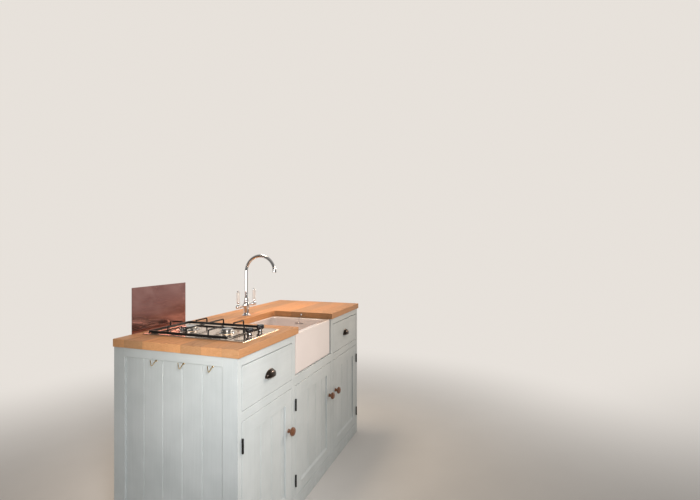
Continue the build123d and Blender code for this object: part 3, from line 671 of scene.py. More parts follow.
PAINT = painted()
OAK = oak()
BIRCH = plain_wood("birch_board", (0.66, 0.50, 0.32), (0.52, 0.36, 0.20), 0.5, 0.0, 7.0)
BIRCH_CAD = plain_wood("birch_carcass", (0.66, 0.50, 0.32), (0.52, 0.36, 0.20), 0.5, 0.0, 9.0, attribute=False)
KNOB_WOOD = plain_wood("turned_knob_wood", (0.23, 0.082, 0.028), (0.11, 0.036, 0.012), 0.30, 0.45, 2.6)
IRON = dull("black_iron", (0.022, 0.021, 0.020), 0.42, 0.6, 0.00005)
BRONZE = bronze()
GLAZE = ceramic()
PORCELAIN = dull("grip_porcelain", (0.87, 0.85, 0.82), 0.18, 0.0, 0.00001, 90.0, 0.3, 0.02)
CHROME = chrome()
# the sheet's colour is warmed to tan: a painted reflection of warm surroundings over the steel's own colour
STEEL = brushed("hob_steel_painted_warm_reflection", (0.71, 0.55, 0.415), (900.0, 3.0, 900.0), 0.10)
SPLASH = brushed("splash_steel_finish", (0.36, 0.20, 0.185), (2.5, 700.0, 700.0), 0.21, 0.00001, (0.27, 0.135, 0.125))
CROWN = dull("burner_alloy", (0.60, 0.59, 0.58), 0.28, 1.0, 0.00003, 300.0, 0.0, 0.08)
CAP = dull("burner_cap_enamel", (0.016, 0.016, 0.016), 0.13, 0.0, 0.00001, 260.0, 1.0, 0.12, 1.0)
ENAMEL = dull("support_enamel", (0.008, 0.008, 0.008), 0.42, 0.0, 0.00005, 350.0, 0.0, 0.12, 0.22)
BLACK = dull("knob_moulding", (0.008, 0.008, 0.011), 0.16, 0.0, 0.00001, 500.0, 0.0, 0.12, 0.5)
SKIRT = brushed("knob_skirt_metal", (0.30, 0.30, 0.31), (40.0, 40.0, 900.0), 0.24)
WHITE = flat_colour("knob_mark_white", (0.78, 0.78, 0.76), 0.5)
IGNITER = flat_colour("igniter_ceramic", (0.80, 0.77, 0.70), 0.35)
BRASS = brass()


def refinish(node, material):
    me = NODES[node].data
    me.materials.clear()
    me.materials.append(material)


def ease(node, width, seg=2):
    """a small rounding on a CAD node's arrises; its own vertices stay as they are"""
    ob = NODES[node]
    weld = ob.modifiers.new("weld", "WELD")
    weld.merge_threshold = 0.00001
    bev = ob.modifiers.new("ease", "BEVEL")
    bev.width = width / 1000
    bev.segments = seg
    bev.limit_method = "ANGLE"
    bev.angle_limit = math.radians(40)
    bev.harden_normals = False
    bev.use_clamp_overlap = True


# ================================================================= joinery
def tongued(l, r, left, right, t=10.0, c=2.2, d=1.6):
    """the cross-section of one matched board: (across, depth), depth from its face"""
    g = 0.1
    pts = []
    if left:
        pts += [(l + g, t), (l + g, 6.6), (l + 4.2, 6.6), (l + 4.2, 3.4), (l + g, 3.4), (l + g, d), (l + c, 0.15), (l + c + 0.4, 0.0)]
    else:
        pts += [(l, t), (l, 0.0)]
    if right:
        pts += [(r - c - 0.4, 0.0), (r - c, 0.15), (r - g, d), (r - g, 3.6), (r + 3.6, 3.6), (r + 3.6, 6.4), (r - g, 6.4), (r - g, t)]
    else:
        pts += [(r, 0.0), (r, t)]
    return pts


def matched_boards(piece, lo, hi, seams, z0, z1, place, c=2.2, d=1.6):
    """a panel of boards from lo to hi, jointed at the seams; place turns (across, depth) into (p, q)"""
    cuts = [lo] + list(seams) + [hi]
    for i, (l, r) in enumerate(zip(cuts, cuts[1:])):
        outline = tongued(l, r, i > 0, i < len(cuts) - 2, c=c, d=d)
        section = [place(across, deep) for across, deep in outline]
        marks = [1.0 if 0.1 < deep < 1.0 else 0.0 for across, deep in outline]
        piece.prism(section, "z", z0, z1, 0.0, marks)


SOFT = 0.9     # arris on painted edges
BACK = 0.6
GROW = 1.6     # doors and drawer fronts, each side: the solids leave more air than the real gaps
OPEN = 1.2     # the frame round them, likewise


def facing(axis, side, r=SOFT, back=BACK):
    """corner radii of a board whose good face looks to -y, -x or +x"""
    # corners: p0q0, p1q0, p1q1, p0q1
    if axis == "z" and side == "-y":
        return (r, r, back, back)
    if side in ("-y", "-x"):
        return (r, back, back, r)
    return (back, r, r, back)


# near and far ends
for end, side in (("near_end", "-x"), ("far_end", "+x")):
    x0, x1, y0, y1, z0, z1 = mm(end + "_frame")
    bx0, bx1, by0, by1, bz0, bz1 = mm(end + "_boards")
    pc = Piece()
    pc.board("z", z0, z1, x0, x1, y0, by0, facing("z", side))
    pc.board("z", z0, z1, x0, x1, by1, y1, facing("z", side))
    pc.board("y", by0, by1, x0, x1, bz1, z1, facing("y", side))
    pc.board("y", by0, by1, x0, x1, z0, bz0, facing("y", side))
    pc.done(end + "_frame_joinery", "root", PAINT, [end + "_frame"], sharp=32, boards=True)
    pc = Piece()
    seams = [174.0, 271.0, 368.0, 465.0]
    face = bx0 if side == "-x" else bx1
    sgn = 1 if side == "-x" else -1
    matched_boards(pc, by0, by1, seams, bz0, bz1, lambda a, d, face=face, sgn=sgn: (face + sgn * d, a))
    pc.done(end + "_boards_matched", "root", PAINT, [end + "_boards"], sharp=32, boards=True)

# face frame
FRONT = 8.0
FB = 30.0
MULL = ((456.5, 486.0), (962.5, 992.5))
BAYS = ((31.0, 456.5), (486.0, 962.5), (992.5, 1433.0))
pc = Piece()
for m0, m1 in MULL:
    pc.board("z", 67.5 + OPEN, 867.0, m0 - OPEN, m1 + OPEN, FRONT, FB, facing("z", "-y", 0.8))
pc.done("mullions_joinery", "root", PAINT, ["mullions"], sharp=32, boards=True)
pc = Piece()
for b, lo, hi in ((BAYS[0], 0.0, OPEN), (BAYS[2], OPEN, 0.0)):
    pc.board("x", b[0] + lo, b[1] - hi, FRONT, FB, 832.5 - OPEN / 2, 867.0, facing("x", "-y", 0.8))
    pc.board("x", b[0] + lo, b[1] - hi, FRONT, FB, 617.5 - OPEN, 652.5 + OPEN, facing("x", "-y", 0.8))
pc.board("x", BAYS[1][0] + OPEN, BAYS[1][1] - OPEN, FRONT, FB, 617.5 - OPEN, 662.0, facing("x", "-y", 0.8))
pc.done("cross_rails_joinery", "root", PAINT, ["cross_rails"], sharp=32, boards=True)
pc = Piece()
pc.board("x", BAYS[0][0], BAYS[2][1], FRONT, FB, 0.0, 67.5 + OPEN, facing("x", "-y", 0.8))
pc.done("bottom_rail_joinery", "root", PAINT, ["bottom_rail"], sharp=32, boards=True)

# doors
SEAMS = {1: (180.0, 271.0, 363.0), 2: (649.0, 745.0, 827.0), 3: (1161.0, 1265.0)}
for i in (1, 2, 3):
    x0, x1, y0, y1, z0, z1 = mm(f"door_{i}_frame")
    x0, x1, z0, z1 = x0 - GROW, x1 + GROW, z0 - GROW, z1 + GROW
    w = 62.0 + GROW
    pc = Piece()
    pc.board("z", z0, z1, x0, x0 + w, y0, y1, facing("z", "-y"))
    pc.board("z", z0, z1, x1 - w, x1, y0, y1, facing("z", "-y"))
    pc.board("x", x0 + w, x1 - w, y0, y1, z1 - w, z1, facing("x", "-y"))
    slope = [(y0, z0 + 0.9), (y0 + 0.3, z0 + 0.3), (y0 + 0.9, z0), (y1 - 0.6, z0), (y1, z0 + 0.6), (y1, z0 + w - 0.6), (y1 - 0.6, z0 + w),
             (y0 + 5.9, z0 + w), (y0 + 5.2, z0 + w - 0.6), (y0 + 0.6, z0 + w - 11.2), (y0 + 0.2, z0 + w - 12.0), (y0, z0 + w - 13.0)]
    pc.prism(slope, "x", x0 + w, x1 - w, 0.0, [0.5, 1, 0.5, 0, 0, 0, 0, 0, 0, 0.4, 1, 0.4])
    pc.done(f"door_{i}_frame_joinery", f"door_{i}", PAINT, [f"door_{i}_frame"], sharp=32, boards=True)
    bx0, bx1, by0, by1, bz0, bz1 = mm(f"door_{i}_boards")
    pc = Piece()
    matched_boards(pc, bx0, bx1, SEAMS[i], bz0, bz1, lambda a, d, by0=by0: (a, by0 + d), c=2.5, d=2.4)
    pc.done(f"door_{i}_boards_matched", f"door_{i}", PAINT, [f"door_{i}_boards"], sharp=32, boards=True)

# drawer fronts and dovetailed boxes
for i in (1, 2):
    x0, x1, y0, y1, z0, z1 = mm(f"drawer_{i}_front")
    x0, x1, z0, z1 = x0 - GROW, x1 + GROW, z0 - GROW, z1 + GROW / 2
    pc = Piece()
    pc.board("x", x0, x1, y0, y1, z0, z1, facing("x", "-y", 1.0), end=0.9)
    pc.done(f"drawer_{i}_front_board", f"drawer_{i}", PAINT, [f"drawer_{i}_front"], sharp=32, boards=True)
    x0, x1, y0, y1, z0, z1 = mm(f"drawer_{i}_box")
    t = 12.0
    n = 4
    pitch = (z1 - z0) / n
    pc = Piece()
    # side boards carry the tails
    for xs in (x0, x1 - t):
        outline = []
        for k in range(n):
            a, b = z0 + k * pitch, z0 + (k + 1) * pitch
            outline += [(y0 + t, a + 4.5), (y0, a + 2.0), (y0, b - 2.0), (y0 + t, b - 4.5)]
        back = []
        for k in reversed(range(n)):
            a, b = z0 + k * pitch, z0 + (k + 1) * pitch
            back += [(y1 - t, b - 4.5), (y1, b - 2.0), (y1, a + 2.0), (y1 - t, a + 4.5)]
        outline = [(y0 + t, z0)] + outline + [(y0 + t, z1), (y1 - t, z1)] + back + [(y1 - t, z0)]
        verts = pc.prism(outline, "x", xs, xs + t, 0.0)
        pc.mark(verts, "y")
    # front and back boards carry the pins
    for ya, yb, wide in ((y0, y0 + t, 0), (y1 - t, y1, 1)):
        pc.board("x", x0 + t, x1 - t, ya, yb, z0, z1, (0.5, 0.5, 0.5, 0.5))
        for k in range(n + 1):
            zc = z0 + k * pitch
            for xs in (x0, x1 - t):
                near, far = (2.0, 4.5) if wide == 0 else (4.5, 2.0)
                lo_n, hi_n = max(z0, zc - near), min(z1, zc + near)
                lo_f, hi_f = max(z0, zc - far), min(z1, zc + far)
                verts = pc.prism([(ya, lo_n), (yb, lo_f), (yb, hi_f), (ya, hi_n)], "x", xs, xs + t, 0.0)
    pc.board("x", x0 + t, x1 - t, y0 + t, y1 - t, z0 + 8, z0 + 14, (0.2,) * 4, end=0.1)
    pc.done(f"drawer_{i}_box_dovetailed", f"drawer_{i}", BIRCH, [f"drawer_{i}_box"], sharp=32, boards=True)

for node in ("cabinet_floor", "back_panel", "partitions", "runners_and_bearers"):
    refinish(node, BIRCH_CAD)
    ease(node, 0.6)
refinish("worktop", OAK)

# ================================================================ ironwork


def turned_knob(i):
    x0, x1, y0, y1, z0, z1 = mm(f"door_{i}_knob")
    cx, cz = (x0 + x1) / 2, (z0 + z1) / 2
    profile = [(10.0, 0.0), (10.2, 0.7), (10.1, 1.4)] + smooth(
        [(9.8, 2.1), (9.1, 3.4), (8.4, 5.4), (8.0, 8.0), (8.1, 10.2), (9.2, 12.2), (12.4, 14.1), (16.4, 16.2),
         (19.1, 19.0), (20.1, 22.4), (19.7, 26.0), (17.2, 29.8), (12.8, 32.4), (6.8, 33.7)], 4) + [(0, 34.0)]
    pc = Piece()
    pc.lathe(profile, (cx, FRONT, cz), (0, -1, 0), 56, axis="y")
    pc.done(f"door_{i}_knob_turned", f"door_{i}", KNOB_WOOD, [f"door_{i}_knob"], sharp=40)


for i in (1, 2, 3):
    turned_knob(i)

HINGE_X = {1: 33.5, 2: 488.5, 3: 1430.5}
HINGE_SIDE = {1: 1, 2: 1, 3: -1}
HINGE_Z = ((124.0, 182.0), (494.0, 552.0))
HY = 3.7


def leaf(pc, hx, s, z0, z1, cut=()):
    """one leaf of a butt hinge, edge on in the gap, with its screws; s says which side of the pin"""
    a, b = sorted((hx + s * 0.75, hx + s * 2.45))
    pc.board("z", z0 + 0.4, z1 - 0.4, a, b, HY + 3.2, 27.0, (0.2, 0.2, 0.5, 0.5), end=0.3)
    for t in (0.18, 0.5, 0.82):
        z = z0 + (z1 - z0) * t
        y = 18.0 if t != 0.5 else 13.0
        x = a - 0.12 if s > 0 else b + 0.12
        d = (-1, 0, 0) if s > 0 else (1, 0, 0)
        pc.lathe([(2.9, 0.0), (2.9, 0.12), (2.5, 0.3), (0, 0.34)], (a if s > 0 else b, y, z), d, 20)
        pc.board("y", y - 2.0, y + 2.0, x - 0.34, x + 0.34, z - 0.35, z + 0.35, (0.05,) * 4, end=0.05)


def knuckle(pc, hx, z0, z1, tip=0):
    ch = 0.5
    prof = [(3.3, 0.0), (3.95, ch), (3.95, z1 - z0 - ch), (3.3, z1 - z0)]
    pc.lathe([(0, 0.0)] + prof + [(0, z1 - z0)], (hx, HY, z0), (0, 0, 1), 28)


pc = Piece()
for i in (1, 2, 3):
    for z0, z1 in HINGE_Z:
        third = (z1 - z0) / 3
        knuckle(pc, HINGE_X[i], z0, z0 + third)
        knuckle(pc, HINGE_X[i], z1 - third, z1)
        leaf(pc, HINGE_X[i], -HINGE_SIDE[i], z0, z1)
pc.done("frame_hinge_leaves_screwed", "root", IRON, ["frame_hinge_leaves"])
for i in (1, 2, 3):
    pc = Piece()
    for z0, z1 in HINGE_Z:
        third = (z1 - z0) / 3
        knuckle(pc, HINGE_X[i], z0 + third + 0.4, z1 - third - 0.4)
        leaf(pc, HINGE_X[i], HINGE_SIDE[i], z0, z1)
    pc.done(f"door_{i}_hinge_leaves_screwed", f"door_{i}", IRON, [f"door_{i}_hinge_leaves"])


def cup_pull(i):
    """a cast cup pull: a quarter-round hood on a rim, with a screw ear at each foot"""
    x0, x1, y0, y1, z0, z1 = mm(f"drawer_{i}_pull")
    cx = (x0 + x1) / 2
    a, d, h = 37.4, 19.7, 26.8           # half width, projection, height of the dome
    zb = z0 + 1.5                        # springing of the hood
    yf = FRONT
    pc = Piece()
    N, M = 56, 18

    def skin(off, lip):
        rows = []
        for k in range(N + 1):
            al = math.pi * k / N
            sa = max(0.0, math.sin(al)) ** 0.86
            x = -math.cos(al) * (a - off)
            row = []
            for m in range(M + 1):
                be = math.pi / 2 * m / M
                y = -(d - off) * sa * math.sin(be) ** 0.92
                z = (h - off) * sa * math.cos(be) ** 0.80
                row.append((cx + x, yf - 1.3 + y * 1.0, zb + 4.0 + z))
            # straight lip below the dome
            row.append((cx + x, yf - 1.3 - (d - off) * sa, zb + 1.8))
            row.append((cx + x, yf - 1.3 - (d - off) * sa, zb))
            rows.append(row)
        return rows

    outer, inner = skin(0.0, 0), skin(2.0, 0)
    made_o = pc.grid(outer)
    made_i = pc.grid([[p for p in row] for row in inner])
    # close the lip and the back between the two skins
    for k in range(N):
        pc.bm.faces.new((made_o[k][-1], made_o[k + 1][-1], made_i[k + 1][-1], made_i[k][-1]))
        pc.bm.faces.new((made_o[k][0], made_i[k][0], made_i[k + 1][0], made_o[k + 1][0]))
    for k in range(N + 1):
        made_o[k][-1][pc.edge] = 1.0
        made_o[k][-2][pc.edge] = 0.5
    # rim against the drawer front: a band that follows the arch and spreads into the ears
    K = 60
    rim = []
    for k in range(K + 1):
        al = math.pi * k / K
        sa = max(0.0, math.sin(al)) ** 0.86
        ca = -math.cos(al)
        ear = max(0.0, (abs(ca) - 0.80) / 0.20)
        wide = 2.9 + 0.8 * ear
        ro = (cx + ca * (a + wide), zb + 3.0 + (h + wide - 0.4) * sa - 1.8 * ear)
        ri = (cx + ca * (a - 1.0), zb + 3.0 + (h - 1.2) * sa)
        rim.append((ro, ri))
    front = [[(o[0], yf, o[1]), (o[0], yf - 1.1, o[1]), ((o[0] * 0.82 + n_[0] * 0.18), yf - 1.6, (o[1] * 0.82 + n_[1] * 0.18)), (n_[0], yf - 1.6, n_[1]), (n_[0], yf, n_[1])] for o, n_ in rim]
    made = pc.grid(front)
    for k in range(K + 1):
        made[k][1][pc.edge] = 0.8
    for k in (0, K):
        pc.bm.faces.new(made[k])
    for k in range(K):
        pc.bm.faces.new((made[k][0], made[k + 1][0], made[k + 1][4], made[k][4]))
    # screw ears with domed screw heads
    for s in (-1, 1):
        ex, ez = cx + s * (a - 0.9), zb + 2.9
        pc.lathe([(4.3, 0.0), (4.3, 1.1), (3.9, 1.8), (0, 1.8)], (ex, yf, ez), (0, -1, 0), 28)
        pc.lathe([(2.5, 1.75), (2.4, 2.2), (1.6, 2.6), (0, 2.7)], (ex, yf, ez), (0, -1, 0), 24)
    pc.done(f"drawer_{i}_pull_cast", f"drawer_{i}", BRONZE, [f"drawer_{i}_pull"], sharp=50)


for i in (1, 2):
    cup_pull(i)

# hooks along the near end's top rail
hx0, hx1, hy0, hy1, hz0, hz1 = mm("hooks")
pc = Piece()
for y in (126.0, 264.0, 402.0):
    pc.lathe([(4.5, 0.0), (4.5, 0.5), (4.0, 1.1), (2.6, 1.5), (2.1, 2.2), (0, 2.3)], (12.0, y, 823.0), (-1, 0, 0), 32)
    path = bent([(11.2, y, 823.0), (7.5, y, 822.0), (-9.5, y, 808.0), (-15.0, y, 809.5), (-20.0, y, 832.6)], [6.0, 4.5, 4.5], 8)
    # the screwed shank, then the plain wire
    pc.tube(path, [1.8] * (len(path) - 1) + [1.6], 16)
    pc.ball((-19.95, y, 832.4), 1.9, 20, 12)
pc.done("hooks_wire", "root", BRASS, ["hooks"])

# ===================================================================== sink
refinish("sink", GLAZE)
wx, wy = 719.5, 225.0
pc = Piece()
zf = 690.0     # floor of the bowl
pc.lathe([(22, -60), (22, -2), (35.0, 0.4), (35.0, 1.2), (34.2, 2.2), (32.6, 2.9), (30.0, 3.0), (25.5, 2.2), (23.0, 0.9), (20.5, 0.2), (19.2, -1.2), (19.2, -6), (0, -6)], (wx, wy, zf), (0, 0, 1), 64)
# back nut under the bowl
hexa = [(33.0, -37.0), (33.0, -26.0)]
pc.lathe([(22.0, -37.0), (32.4, -37.0), (33.0, -36.2), (33.0, -26.4), (32.4, -25.2), (22.0, -25.2)], (wx, wy, zf), (0, 0, 1), 8)
# grid across the outlet, and its screw
for k in range(3):
    a = math.pi * k / 3
    c, s_ = math.cos(a), math.sin(a)
    pc.tube([(wx - 19.6 * c, wy - 19.6 * s_, zf - 0.6), (wx, wy, zf + 0.2), (wx + 19.6 * c, wy + 19.6 * s_, zf - 0.6)], 1.5, 12, ends="flat")
pc.lathe([(6.2, -2.0), (6.2, 0.9), (5.4, 2.0), (3.4, 2.7), (0, 2.9)], (wx, wy, zf), (0, 0, 1), 32)
pc.done("sink_waste_fitting", "root", CHROME, ["sink_waste"])

# chain stay on the worktop's cut edge, a bead chain over the rim and its ring
pc = Piece()
sx, sy, sz = 955.0, 200.0, 884.0
pc.lathe([(7.0, 0.0), (7.0, 1.0), (6.0, 2.2), (3.4, 3.2), (2.4, 4.0), (2.2, 4.8), (0, 5.0)], (sx, sy, sz), (-1, 0, 0), 32)
rim_x = 925.0
route = bent([(sx - 5.2, sy, sz - 1.0), (sx - 6.0, sy, 869.2), (rim_x + 2.0, sy, 869.0), (rim_x - 2.6, sy, 866.0), (rim_x - 2.9, sy, 846.0)], [3.0, 3.0, 3.0], 8)
length = sum((b - a).length for a, b in zip(route, route[1:]))
step = 3.1
walked, want = 0.0, 0.0
for a, b in zip(route, route[1:]):
    seg_len = (b - a).length
    while want <= walked + seg_len and seg_len > 0:
        p = a.lerp(b, (want - walked) / seg_len)
        pc.ball(tuple(p), 1.35, 12, 8)
        want += step
    walked += seg_len
pc.tube([tuple(p) for p in route], 0.45, 8)
pc.lathe([(0, 0.0), (2.0, 0.4), (2.6, 1.4), (2.6, 5.0), (4.4, 6.2), (4.4, 7.6), (3.6, 8.6), (0, 9.0)], (rim_x - 3.4, sy, 846.5), (0, 0, -1), 24)
pc.done("plug_chain_beads", "root", CHROME, ["plug_chain"])

# ====================================================================== tap
TX, TY = 741.0, 447.0
ARM_Z = 958.0
pc = Piece()
pc.lathe([(14.0, -50.0), (14.0, -0.2), (25.0, 0.0), (25.0, 1.4), (24.6, 2.3), (23.4, 3.1), (21.2, 3.7), (19.0, 5.0), (17.4, 7.4),
          (16.2, 10.6), (15.7, 14.0), (15.5, 20.0), (15.4, 30.0), (15.5, 36.0), (16.9, 37.2), (17.3, 38.3), (16.9, 39.4), (16.0, 40.4),
          (16.4, 43.0), (17.7, 46.5), (18.6, 51.0), (18.8, 58.0), (18.6, 65.0), (17.6, 70.0), (15.6, 74.0), (14.0, 76.6),
          (13.8, 77.4), (14.7, 78.4), (14.9, 79.7), (14.6, 81.0), (13.2, 82.0), (12.6, 85.9), (0, 86.0)],
         (TX, TY, 900.0), (0, 0, 1), 72)
pc.lathe([(14.0, -1.0), (24.2, -1.0), (25.0, -0.2), (25.0, 10.6), (24.2, 11.4), (14.0, 11.4)], (TX, TY, 855.2), (0, 0, 1), 6)
for s in (-1, 1):
    # level arm, with a ring where it leaves the body and a bell at its end
    pc.lathe([(9.4, 14.0), (9.4, 20.4), (9.9, 21.2), (9.9, 22.4), (9.2, 23.2), (8.0, 24.0), (7.5, 28.0), (7.2, 40.0), (7.4, 52.0),
              (8.0, 57.0), (9.0, 60.6), (9.9, 62.4), (10.2, 64.0), (10.2, 70.4), (9.7, 71.4), (0, 72.0)],
             (TX, TY, ARM_Z), (s, 0, 0), 48)
pc.done("tap_body_turned", "root", CHROME, ["tap_body"], sharp=30)

for s, name, body in ((1, "tap_lever_far", "lever_far"), (-1, "tap_lever_near", "lever_near")):
    pc = Piece()
    # hub on the arm's end
    pc.lathe([(0, 72.6), (9.2, 72.6), (9.9, 73.4), (9.9, 75.0), (9.2, 75.8), (9.2, 89.6), (9.7, 90.4), (9.7, 92.2), (9.0, 93.4), (7.4, 95.0), (4.6, 96.8), (2.0, 97.7), (0, 98.0)],
             (TX, TY, ARM_Z), (s, 0, 0), 48)
    # stem, and the seat that the handle stands in
    lx = TX + s * 82.0
    pc.lathe([(6.6, 6.0), (6.4, 9.4), (5.4, 11.0), (4.8, 14.0), (4.8, 17.6), (5.8, 19.0), (7.4, 20.4), (8.3, 22.4), (8.5, 24.6), (8.2, 26.0), (7.0, 26.4), (0, 26.4)],
             (lx, TY, ARM_Z), (0, 0, 1), 40)
    # cap with a small button
    pc.lathe([(0, 82.0), (6.6, 82.2), (6.9, 82.9), (6.7, 84.0), (5.9, 85.6), (5.3, 86.6), (5.3, 87.6), (4.6, 89.2), (3.0, 90.5), (0, 91.0)],
             (lx, TY, ARM_Z), (0, 0, 1), 40)
    pc.done(name + "_turned", body, CHROME, [name], sharp=30)
    pc = Piece()
    pc.lathe([(0, 25.6), (6.6, 25.8)] + smooth([(7.4, 26.6), (8.1, 29.0), (8.6, 36.0), (8.8, 48.0), (8.8, 62.0), (8.6, 72.0), (8.0, 78.0), (7.0, 81.4)], 3) + [(6.0, 82.4), (0, 82.6)],
             (lx, TY, ARM_Z), (0, 0, 1), 48)
    pc.done(name + "_porcelain_grip", body, PORCELAIN)

pc = Piece()
NR, NZ = 92.0, 1151.0
path = [(TX, TY, 987.0), (TX, TY, 1020.0), (TX, TY, 1060.0), (TX, TY, 1100.0), (TX, TY, 1130.0)]
for k in range(57):
    a = math.pi * k / 56
    path.append((TX, TY - NR + NR * math.cos(a), NZ + NR * math.sin(a)))
pc.tube(path, 9.4, 48, ends="flat")
pc.lathe([(0, 0.0), (11.4, 0.0), (12.2, 0.7), (12.3, 1.8), (12.2, 3.0), (11.2, 3.8), (11.2, 5.0), (11.9, 5.6), (11.9, 13.6), (11.3, 15.4), (9.9, 16.8), (9.4, 17.2), (0, 17.2)],
         (TX, TY, 986.5), (0, 0, 1), 56)
# sleeve at the mouth: it follows the last of the bend
path, radii = [], []
for k, r in enumerate((9.5, 10.6, 11.3, 11.5, 11.5, 11.5, 10.9, 10.9, 11.5, 11.5, 11.5, 11.5)):
    h = (24.0, 23.4, 22.4, 21.0, 18.0, 16.6, 16.0, 15.0, 14.4, 10.0, 6.0, 2.6)[k]
    a = math.pi - math.asin(h / NR)
    path.append((TX, TY - NR + NR * math.cos(a), NZ + NR * math.sin(a)))
    radii.append(r)
pc.tube(path, radii, 56, ends="flat")
pc.lathe([(11.5, -3.2), (11.5, 0.2), (11.2, 1.2), (10.2, 1.6), (9.4, 1.0), (9.2, -1.2), (0, -1.4)], (TX, TY - 2 * NR, NZ), (0, 0, -1), 56)
pc.done("tap_spout_bent", "spout", CHROME, ["tap_spout"], sharp=30)

# ====================================================================== hob
HX0, HX1, HY0, HY1 = 112.0, 412.0, 50.0, 580.0
HCX, HCY = (HX0 + HX1) / 2, (HY0 + HY1) / 2
BR, BF = (HCX, 450.0), (HCX, 238.0)


def rounded_outline(inset_by, z, r=10.0, seg=10):
    x0, x1, y0, y1 = HX0 + inset_by, HX1 - inset_by, HY0 + inset_by, HY1 - inset_by
    rr = max(1.5, r - inset_by * 0.6)
    pts, _ = rounded(x0, x1, y0, y1, (rr,) * 4, seg)
    return [(p, q, z) for p, q in pts]


pc = Piece()
rows = [rounded_outline(d, z) for d, z in (
    (1.2, 900.0), (0.2, 900.3), (0.0, 900.9), (0.1, 901.8), (0.5, 902.7), (1.3, 903.4), (2.4, 903.85), (4.0, 904.0), (8.0, 904.0),
    (9.6, 903.85), (11.2, 903.3), (12.6, 902.75), (14.0, 902.6))]
made = pc.grid(rows, close=True)
pc.bm.faces.new(made[-1])
pc.bm.faces.new(list(reversed(made[0])))
# pressed rings round the burners
for (bx, by), r in ((BR, 60.0), (BF, 50.0)):
    pc.lathe([(0, 0.2), (r - 16, 0.2), (r - 11, 0.35), (r - 7.5, 1.0), (r - 5.5, 1.35), (r - 3.8, 1.35), (r - 1.8, 0.9), (r, 0.15), (r + 0.6, -0.2), (0, -0.4)],
             (bx, by, 902.6), (0, 0, 1), 72)
# low bosses under the knobs
for kx, ky in ((248.0, 110.0), (336.0, 110.0)):
    pc.lathe([(0, 0.6), (20.5, 0.6), (21.6, 0.4), (22.4, -0.1), (0, -0.3)], (kx, ky, 902.6), (0, 0, 1), 56)
# burner box below the worktop
pc.board("z", 852.0, 900.2, HX0 + 20, HX1 - 20, HY0 + 20, HY1 - 20, (5, 5, 5, 5), end=2.5, seg=5)
pc.done("hob_plate_pressed", "root", STEEL, ["hob_plate"], sharp=28, boards=True)


def burner(pc, bx, by, r, mats):
    """alloy crown with flame ports, and a ring under it"""
    z = 903.0
    pc.lathe([(r * 0.55, 0.0), (r + 7.2, 0.0), (r + 8.0, 0.5), (r + 7.6, 1.3), (r + 4.0, 2.2), (r - 2.0, 2.8), (r - 6.0, 3.0)], (bx, by, z), (0, 0, 1), 72)
    # crown with ports cut in its side
    n = 36 if r > 30 else 28
    seg = n * 4
    base, rows = z + 2.6, []
    levels = [(r - 5.5, 0.0, 0), (r - 1.2, 1.2, 0), (r, 2.6, 0), (r, 4.0, 0), (r - 0.1, 4.6, 1), (r - 0.1, 8.6, 1), (r, 9.2, 0), (r - 0.4, 10.2, 0), (r - 3.0, 11.0, 0), (0.01, 11.2, 0)]
    for rad, h, port in levels:
        row = []
        for k in range(seg):
            a = 2 * math.pi * (k + 0.5) / seg
            rr = rad
            if port and (k % 4) in (1, 2):
                rr = rad - 2.6
            row.append((bx + rr * math.cos(a), by + rr * math.sin(a), base + h))
        rows.append(row)
    pc.grid(rows, close=True)


pc = Piece()
burner(pc, *BR, 40.0, None)
burner(pc, *BF, 27.5, None)
caps_from = len(pc.bm.faces)
for (bx, by), r in ((BR, 36.5), (BF, 24.5)):
    pc.lathe([(0, 0.0), (r - 3.0, 0.0), (r - 0.6, 0.5), (r, 1.5), (r - 0.4, 2.6), (r - 2.0, 3.5), (r - 6.0, 4.1), (r * 0.45, 4.6), (0, 4.8)],
             (bx, by, 917.0), (0, 0, 1), 72)
pc.bm.faces.ensure_lookup_table()
for f in pc.bm.faces[caps_from:]:
    f.material_index = 1
# igniter and flame sensor beside each burner
pins_from = len(pc.bm.faces)
for (bx, by), r in ((BR, 40.0), (BF, 27.5)):
    for ang in (215, 250):
        a = math.radians(ang)
        px, py = bx + (r + 4.4) * math.cos(a), by + (r + 4.4) * math.sin(a)
        pc.lathe([(0, 0.0), (2.6, 0.0), (2.6, 5.0), (2.1, 6.0), (0.9, 6.2), (0.9, 12.5), (0.5, 13.2), (0, 13.3)], (px, py, 904.0), (0, 0, 1), 16)
pc.bm.faces.ensure_lookup_table()
for f in pc.bm.faces[pins_from:]:
    f.material_index = 2
pc.done("hob_burners_ported", "root", [CROWN, CAP, IGNITER], ["hob_burners"], sharp=32)

# pan support: deep flat bar on three sides, a rod at the front, raised fingers
pc = Piece()
PX0, PX1, PY0, PY1 = 126.0, 398.0, 143.0, 560.0
ZB0, ZB1 = 905.5, 916.5
ZL = 912.0
r_fin = 3.4
r_rod = 1.8
W = 8.0


def flat_bar(path, half_w, half_h, seg=4):
    """flat bar on edge along a level path, its arrises eased"""
    sec, _ = rounded(-half_w, half_w, -half_h, half_h, (1.4,) * 4, seg)
    pc.tube(path, half_w, len(sec), ends="flat", section=sec)


zc = (ZB0 + ZB1) / 2
flat_bar(bent([(PX0 + W / 2, PY0 + 1.0, zc), (PX0 + W / 2, PY1 - W / 2, zc), (PX1 - W / 2, PY1 - W / 2, zc), (PX1 - W / 2, PY0 + 1.0, zc)], [9.0, 9.0], 8), W / 2, (ZB1 - ZB0) / 2)
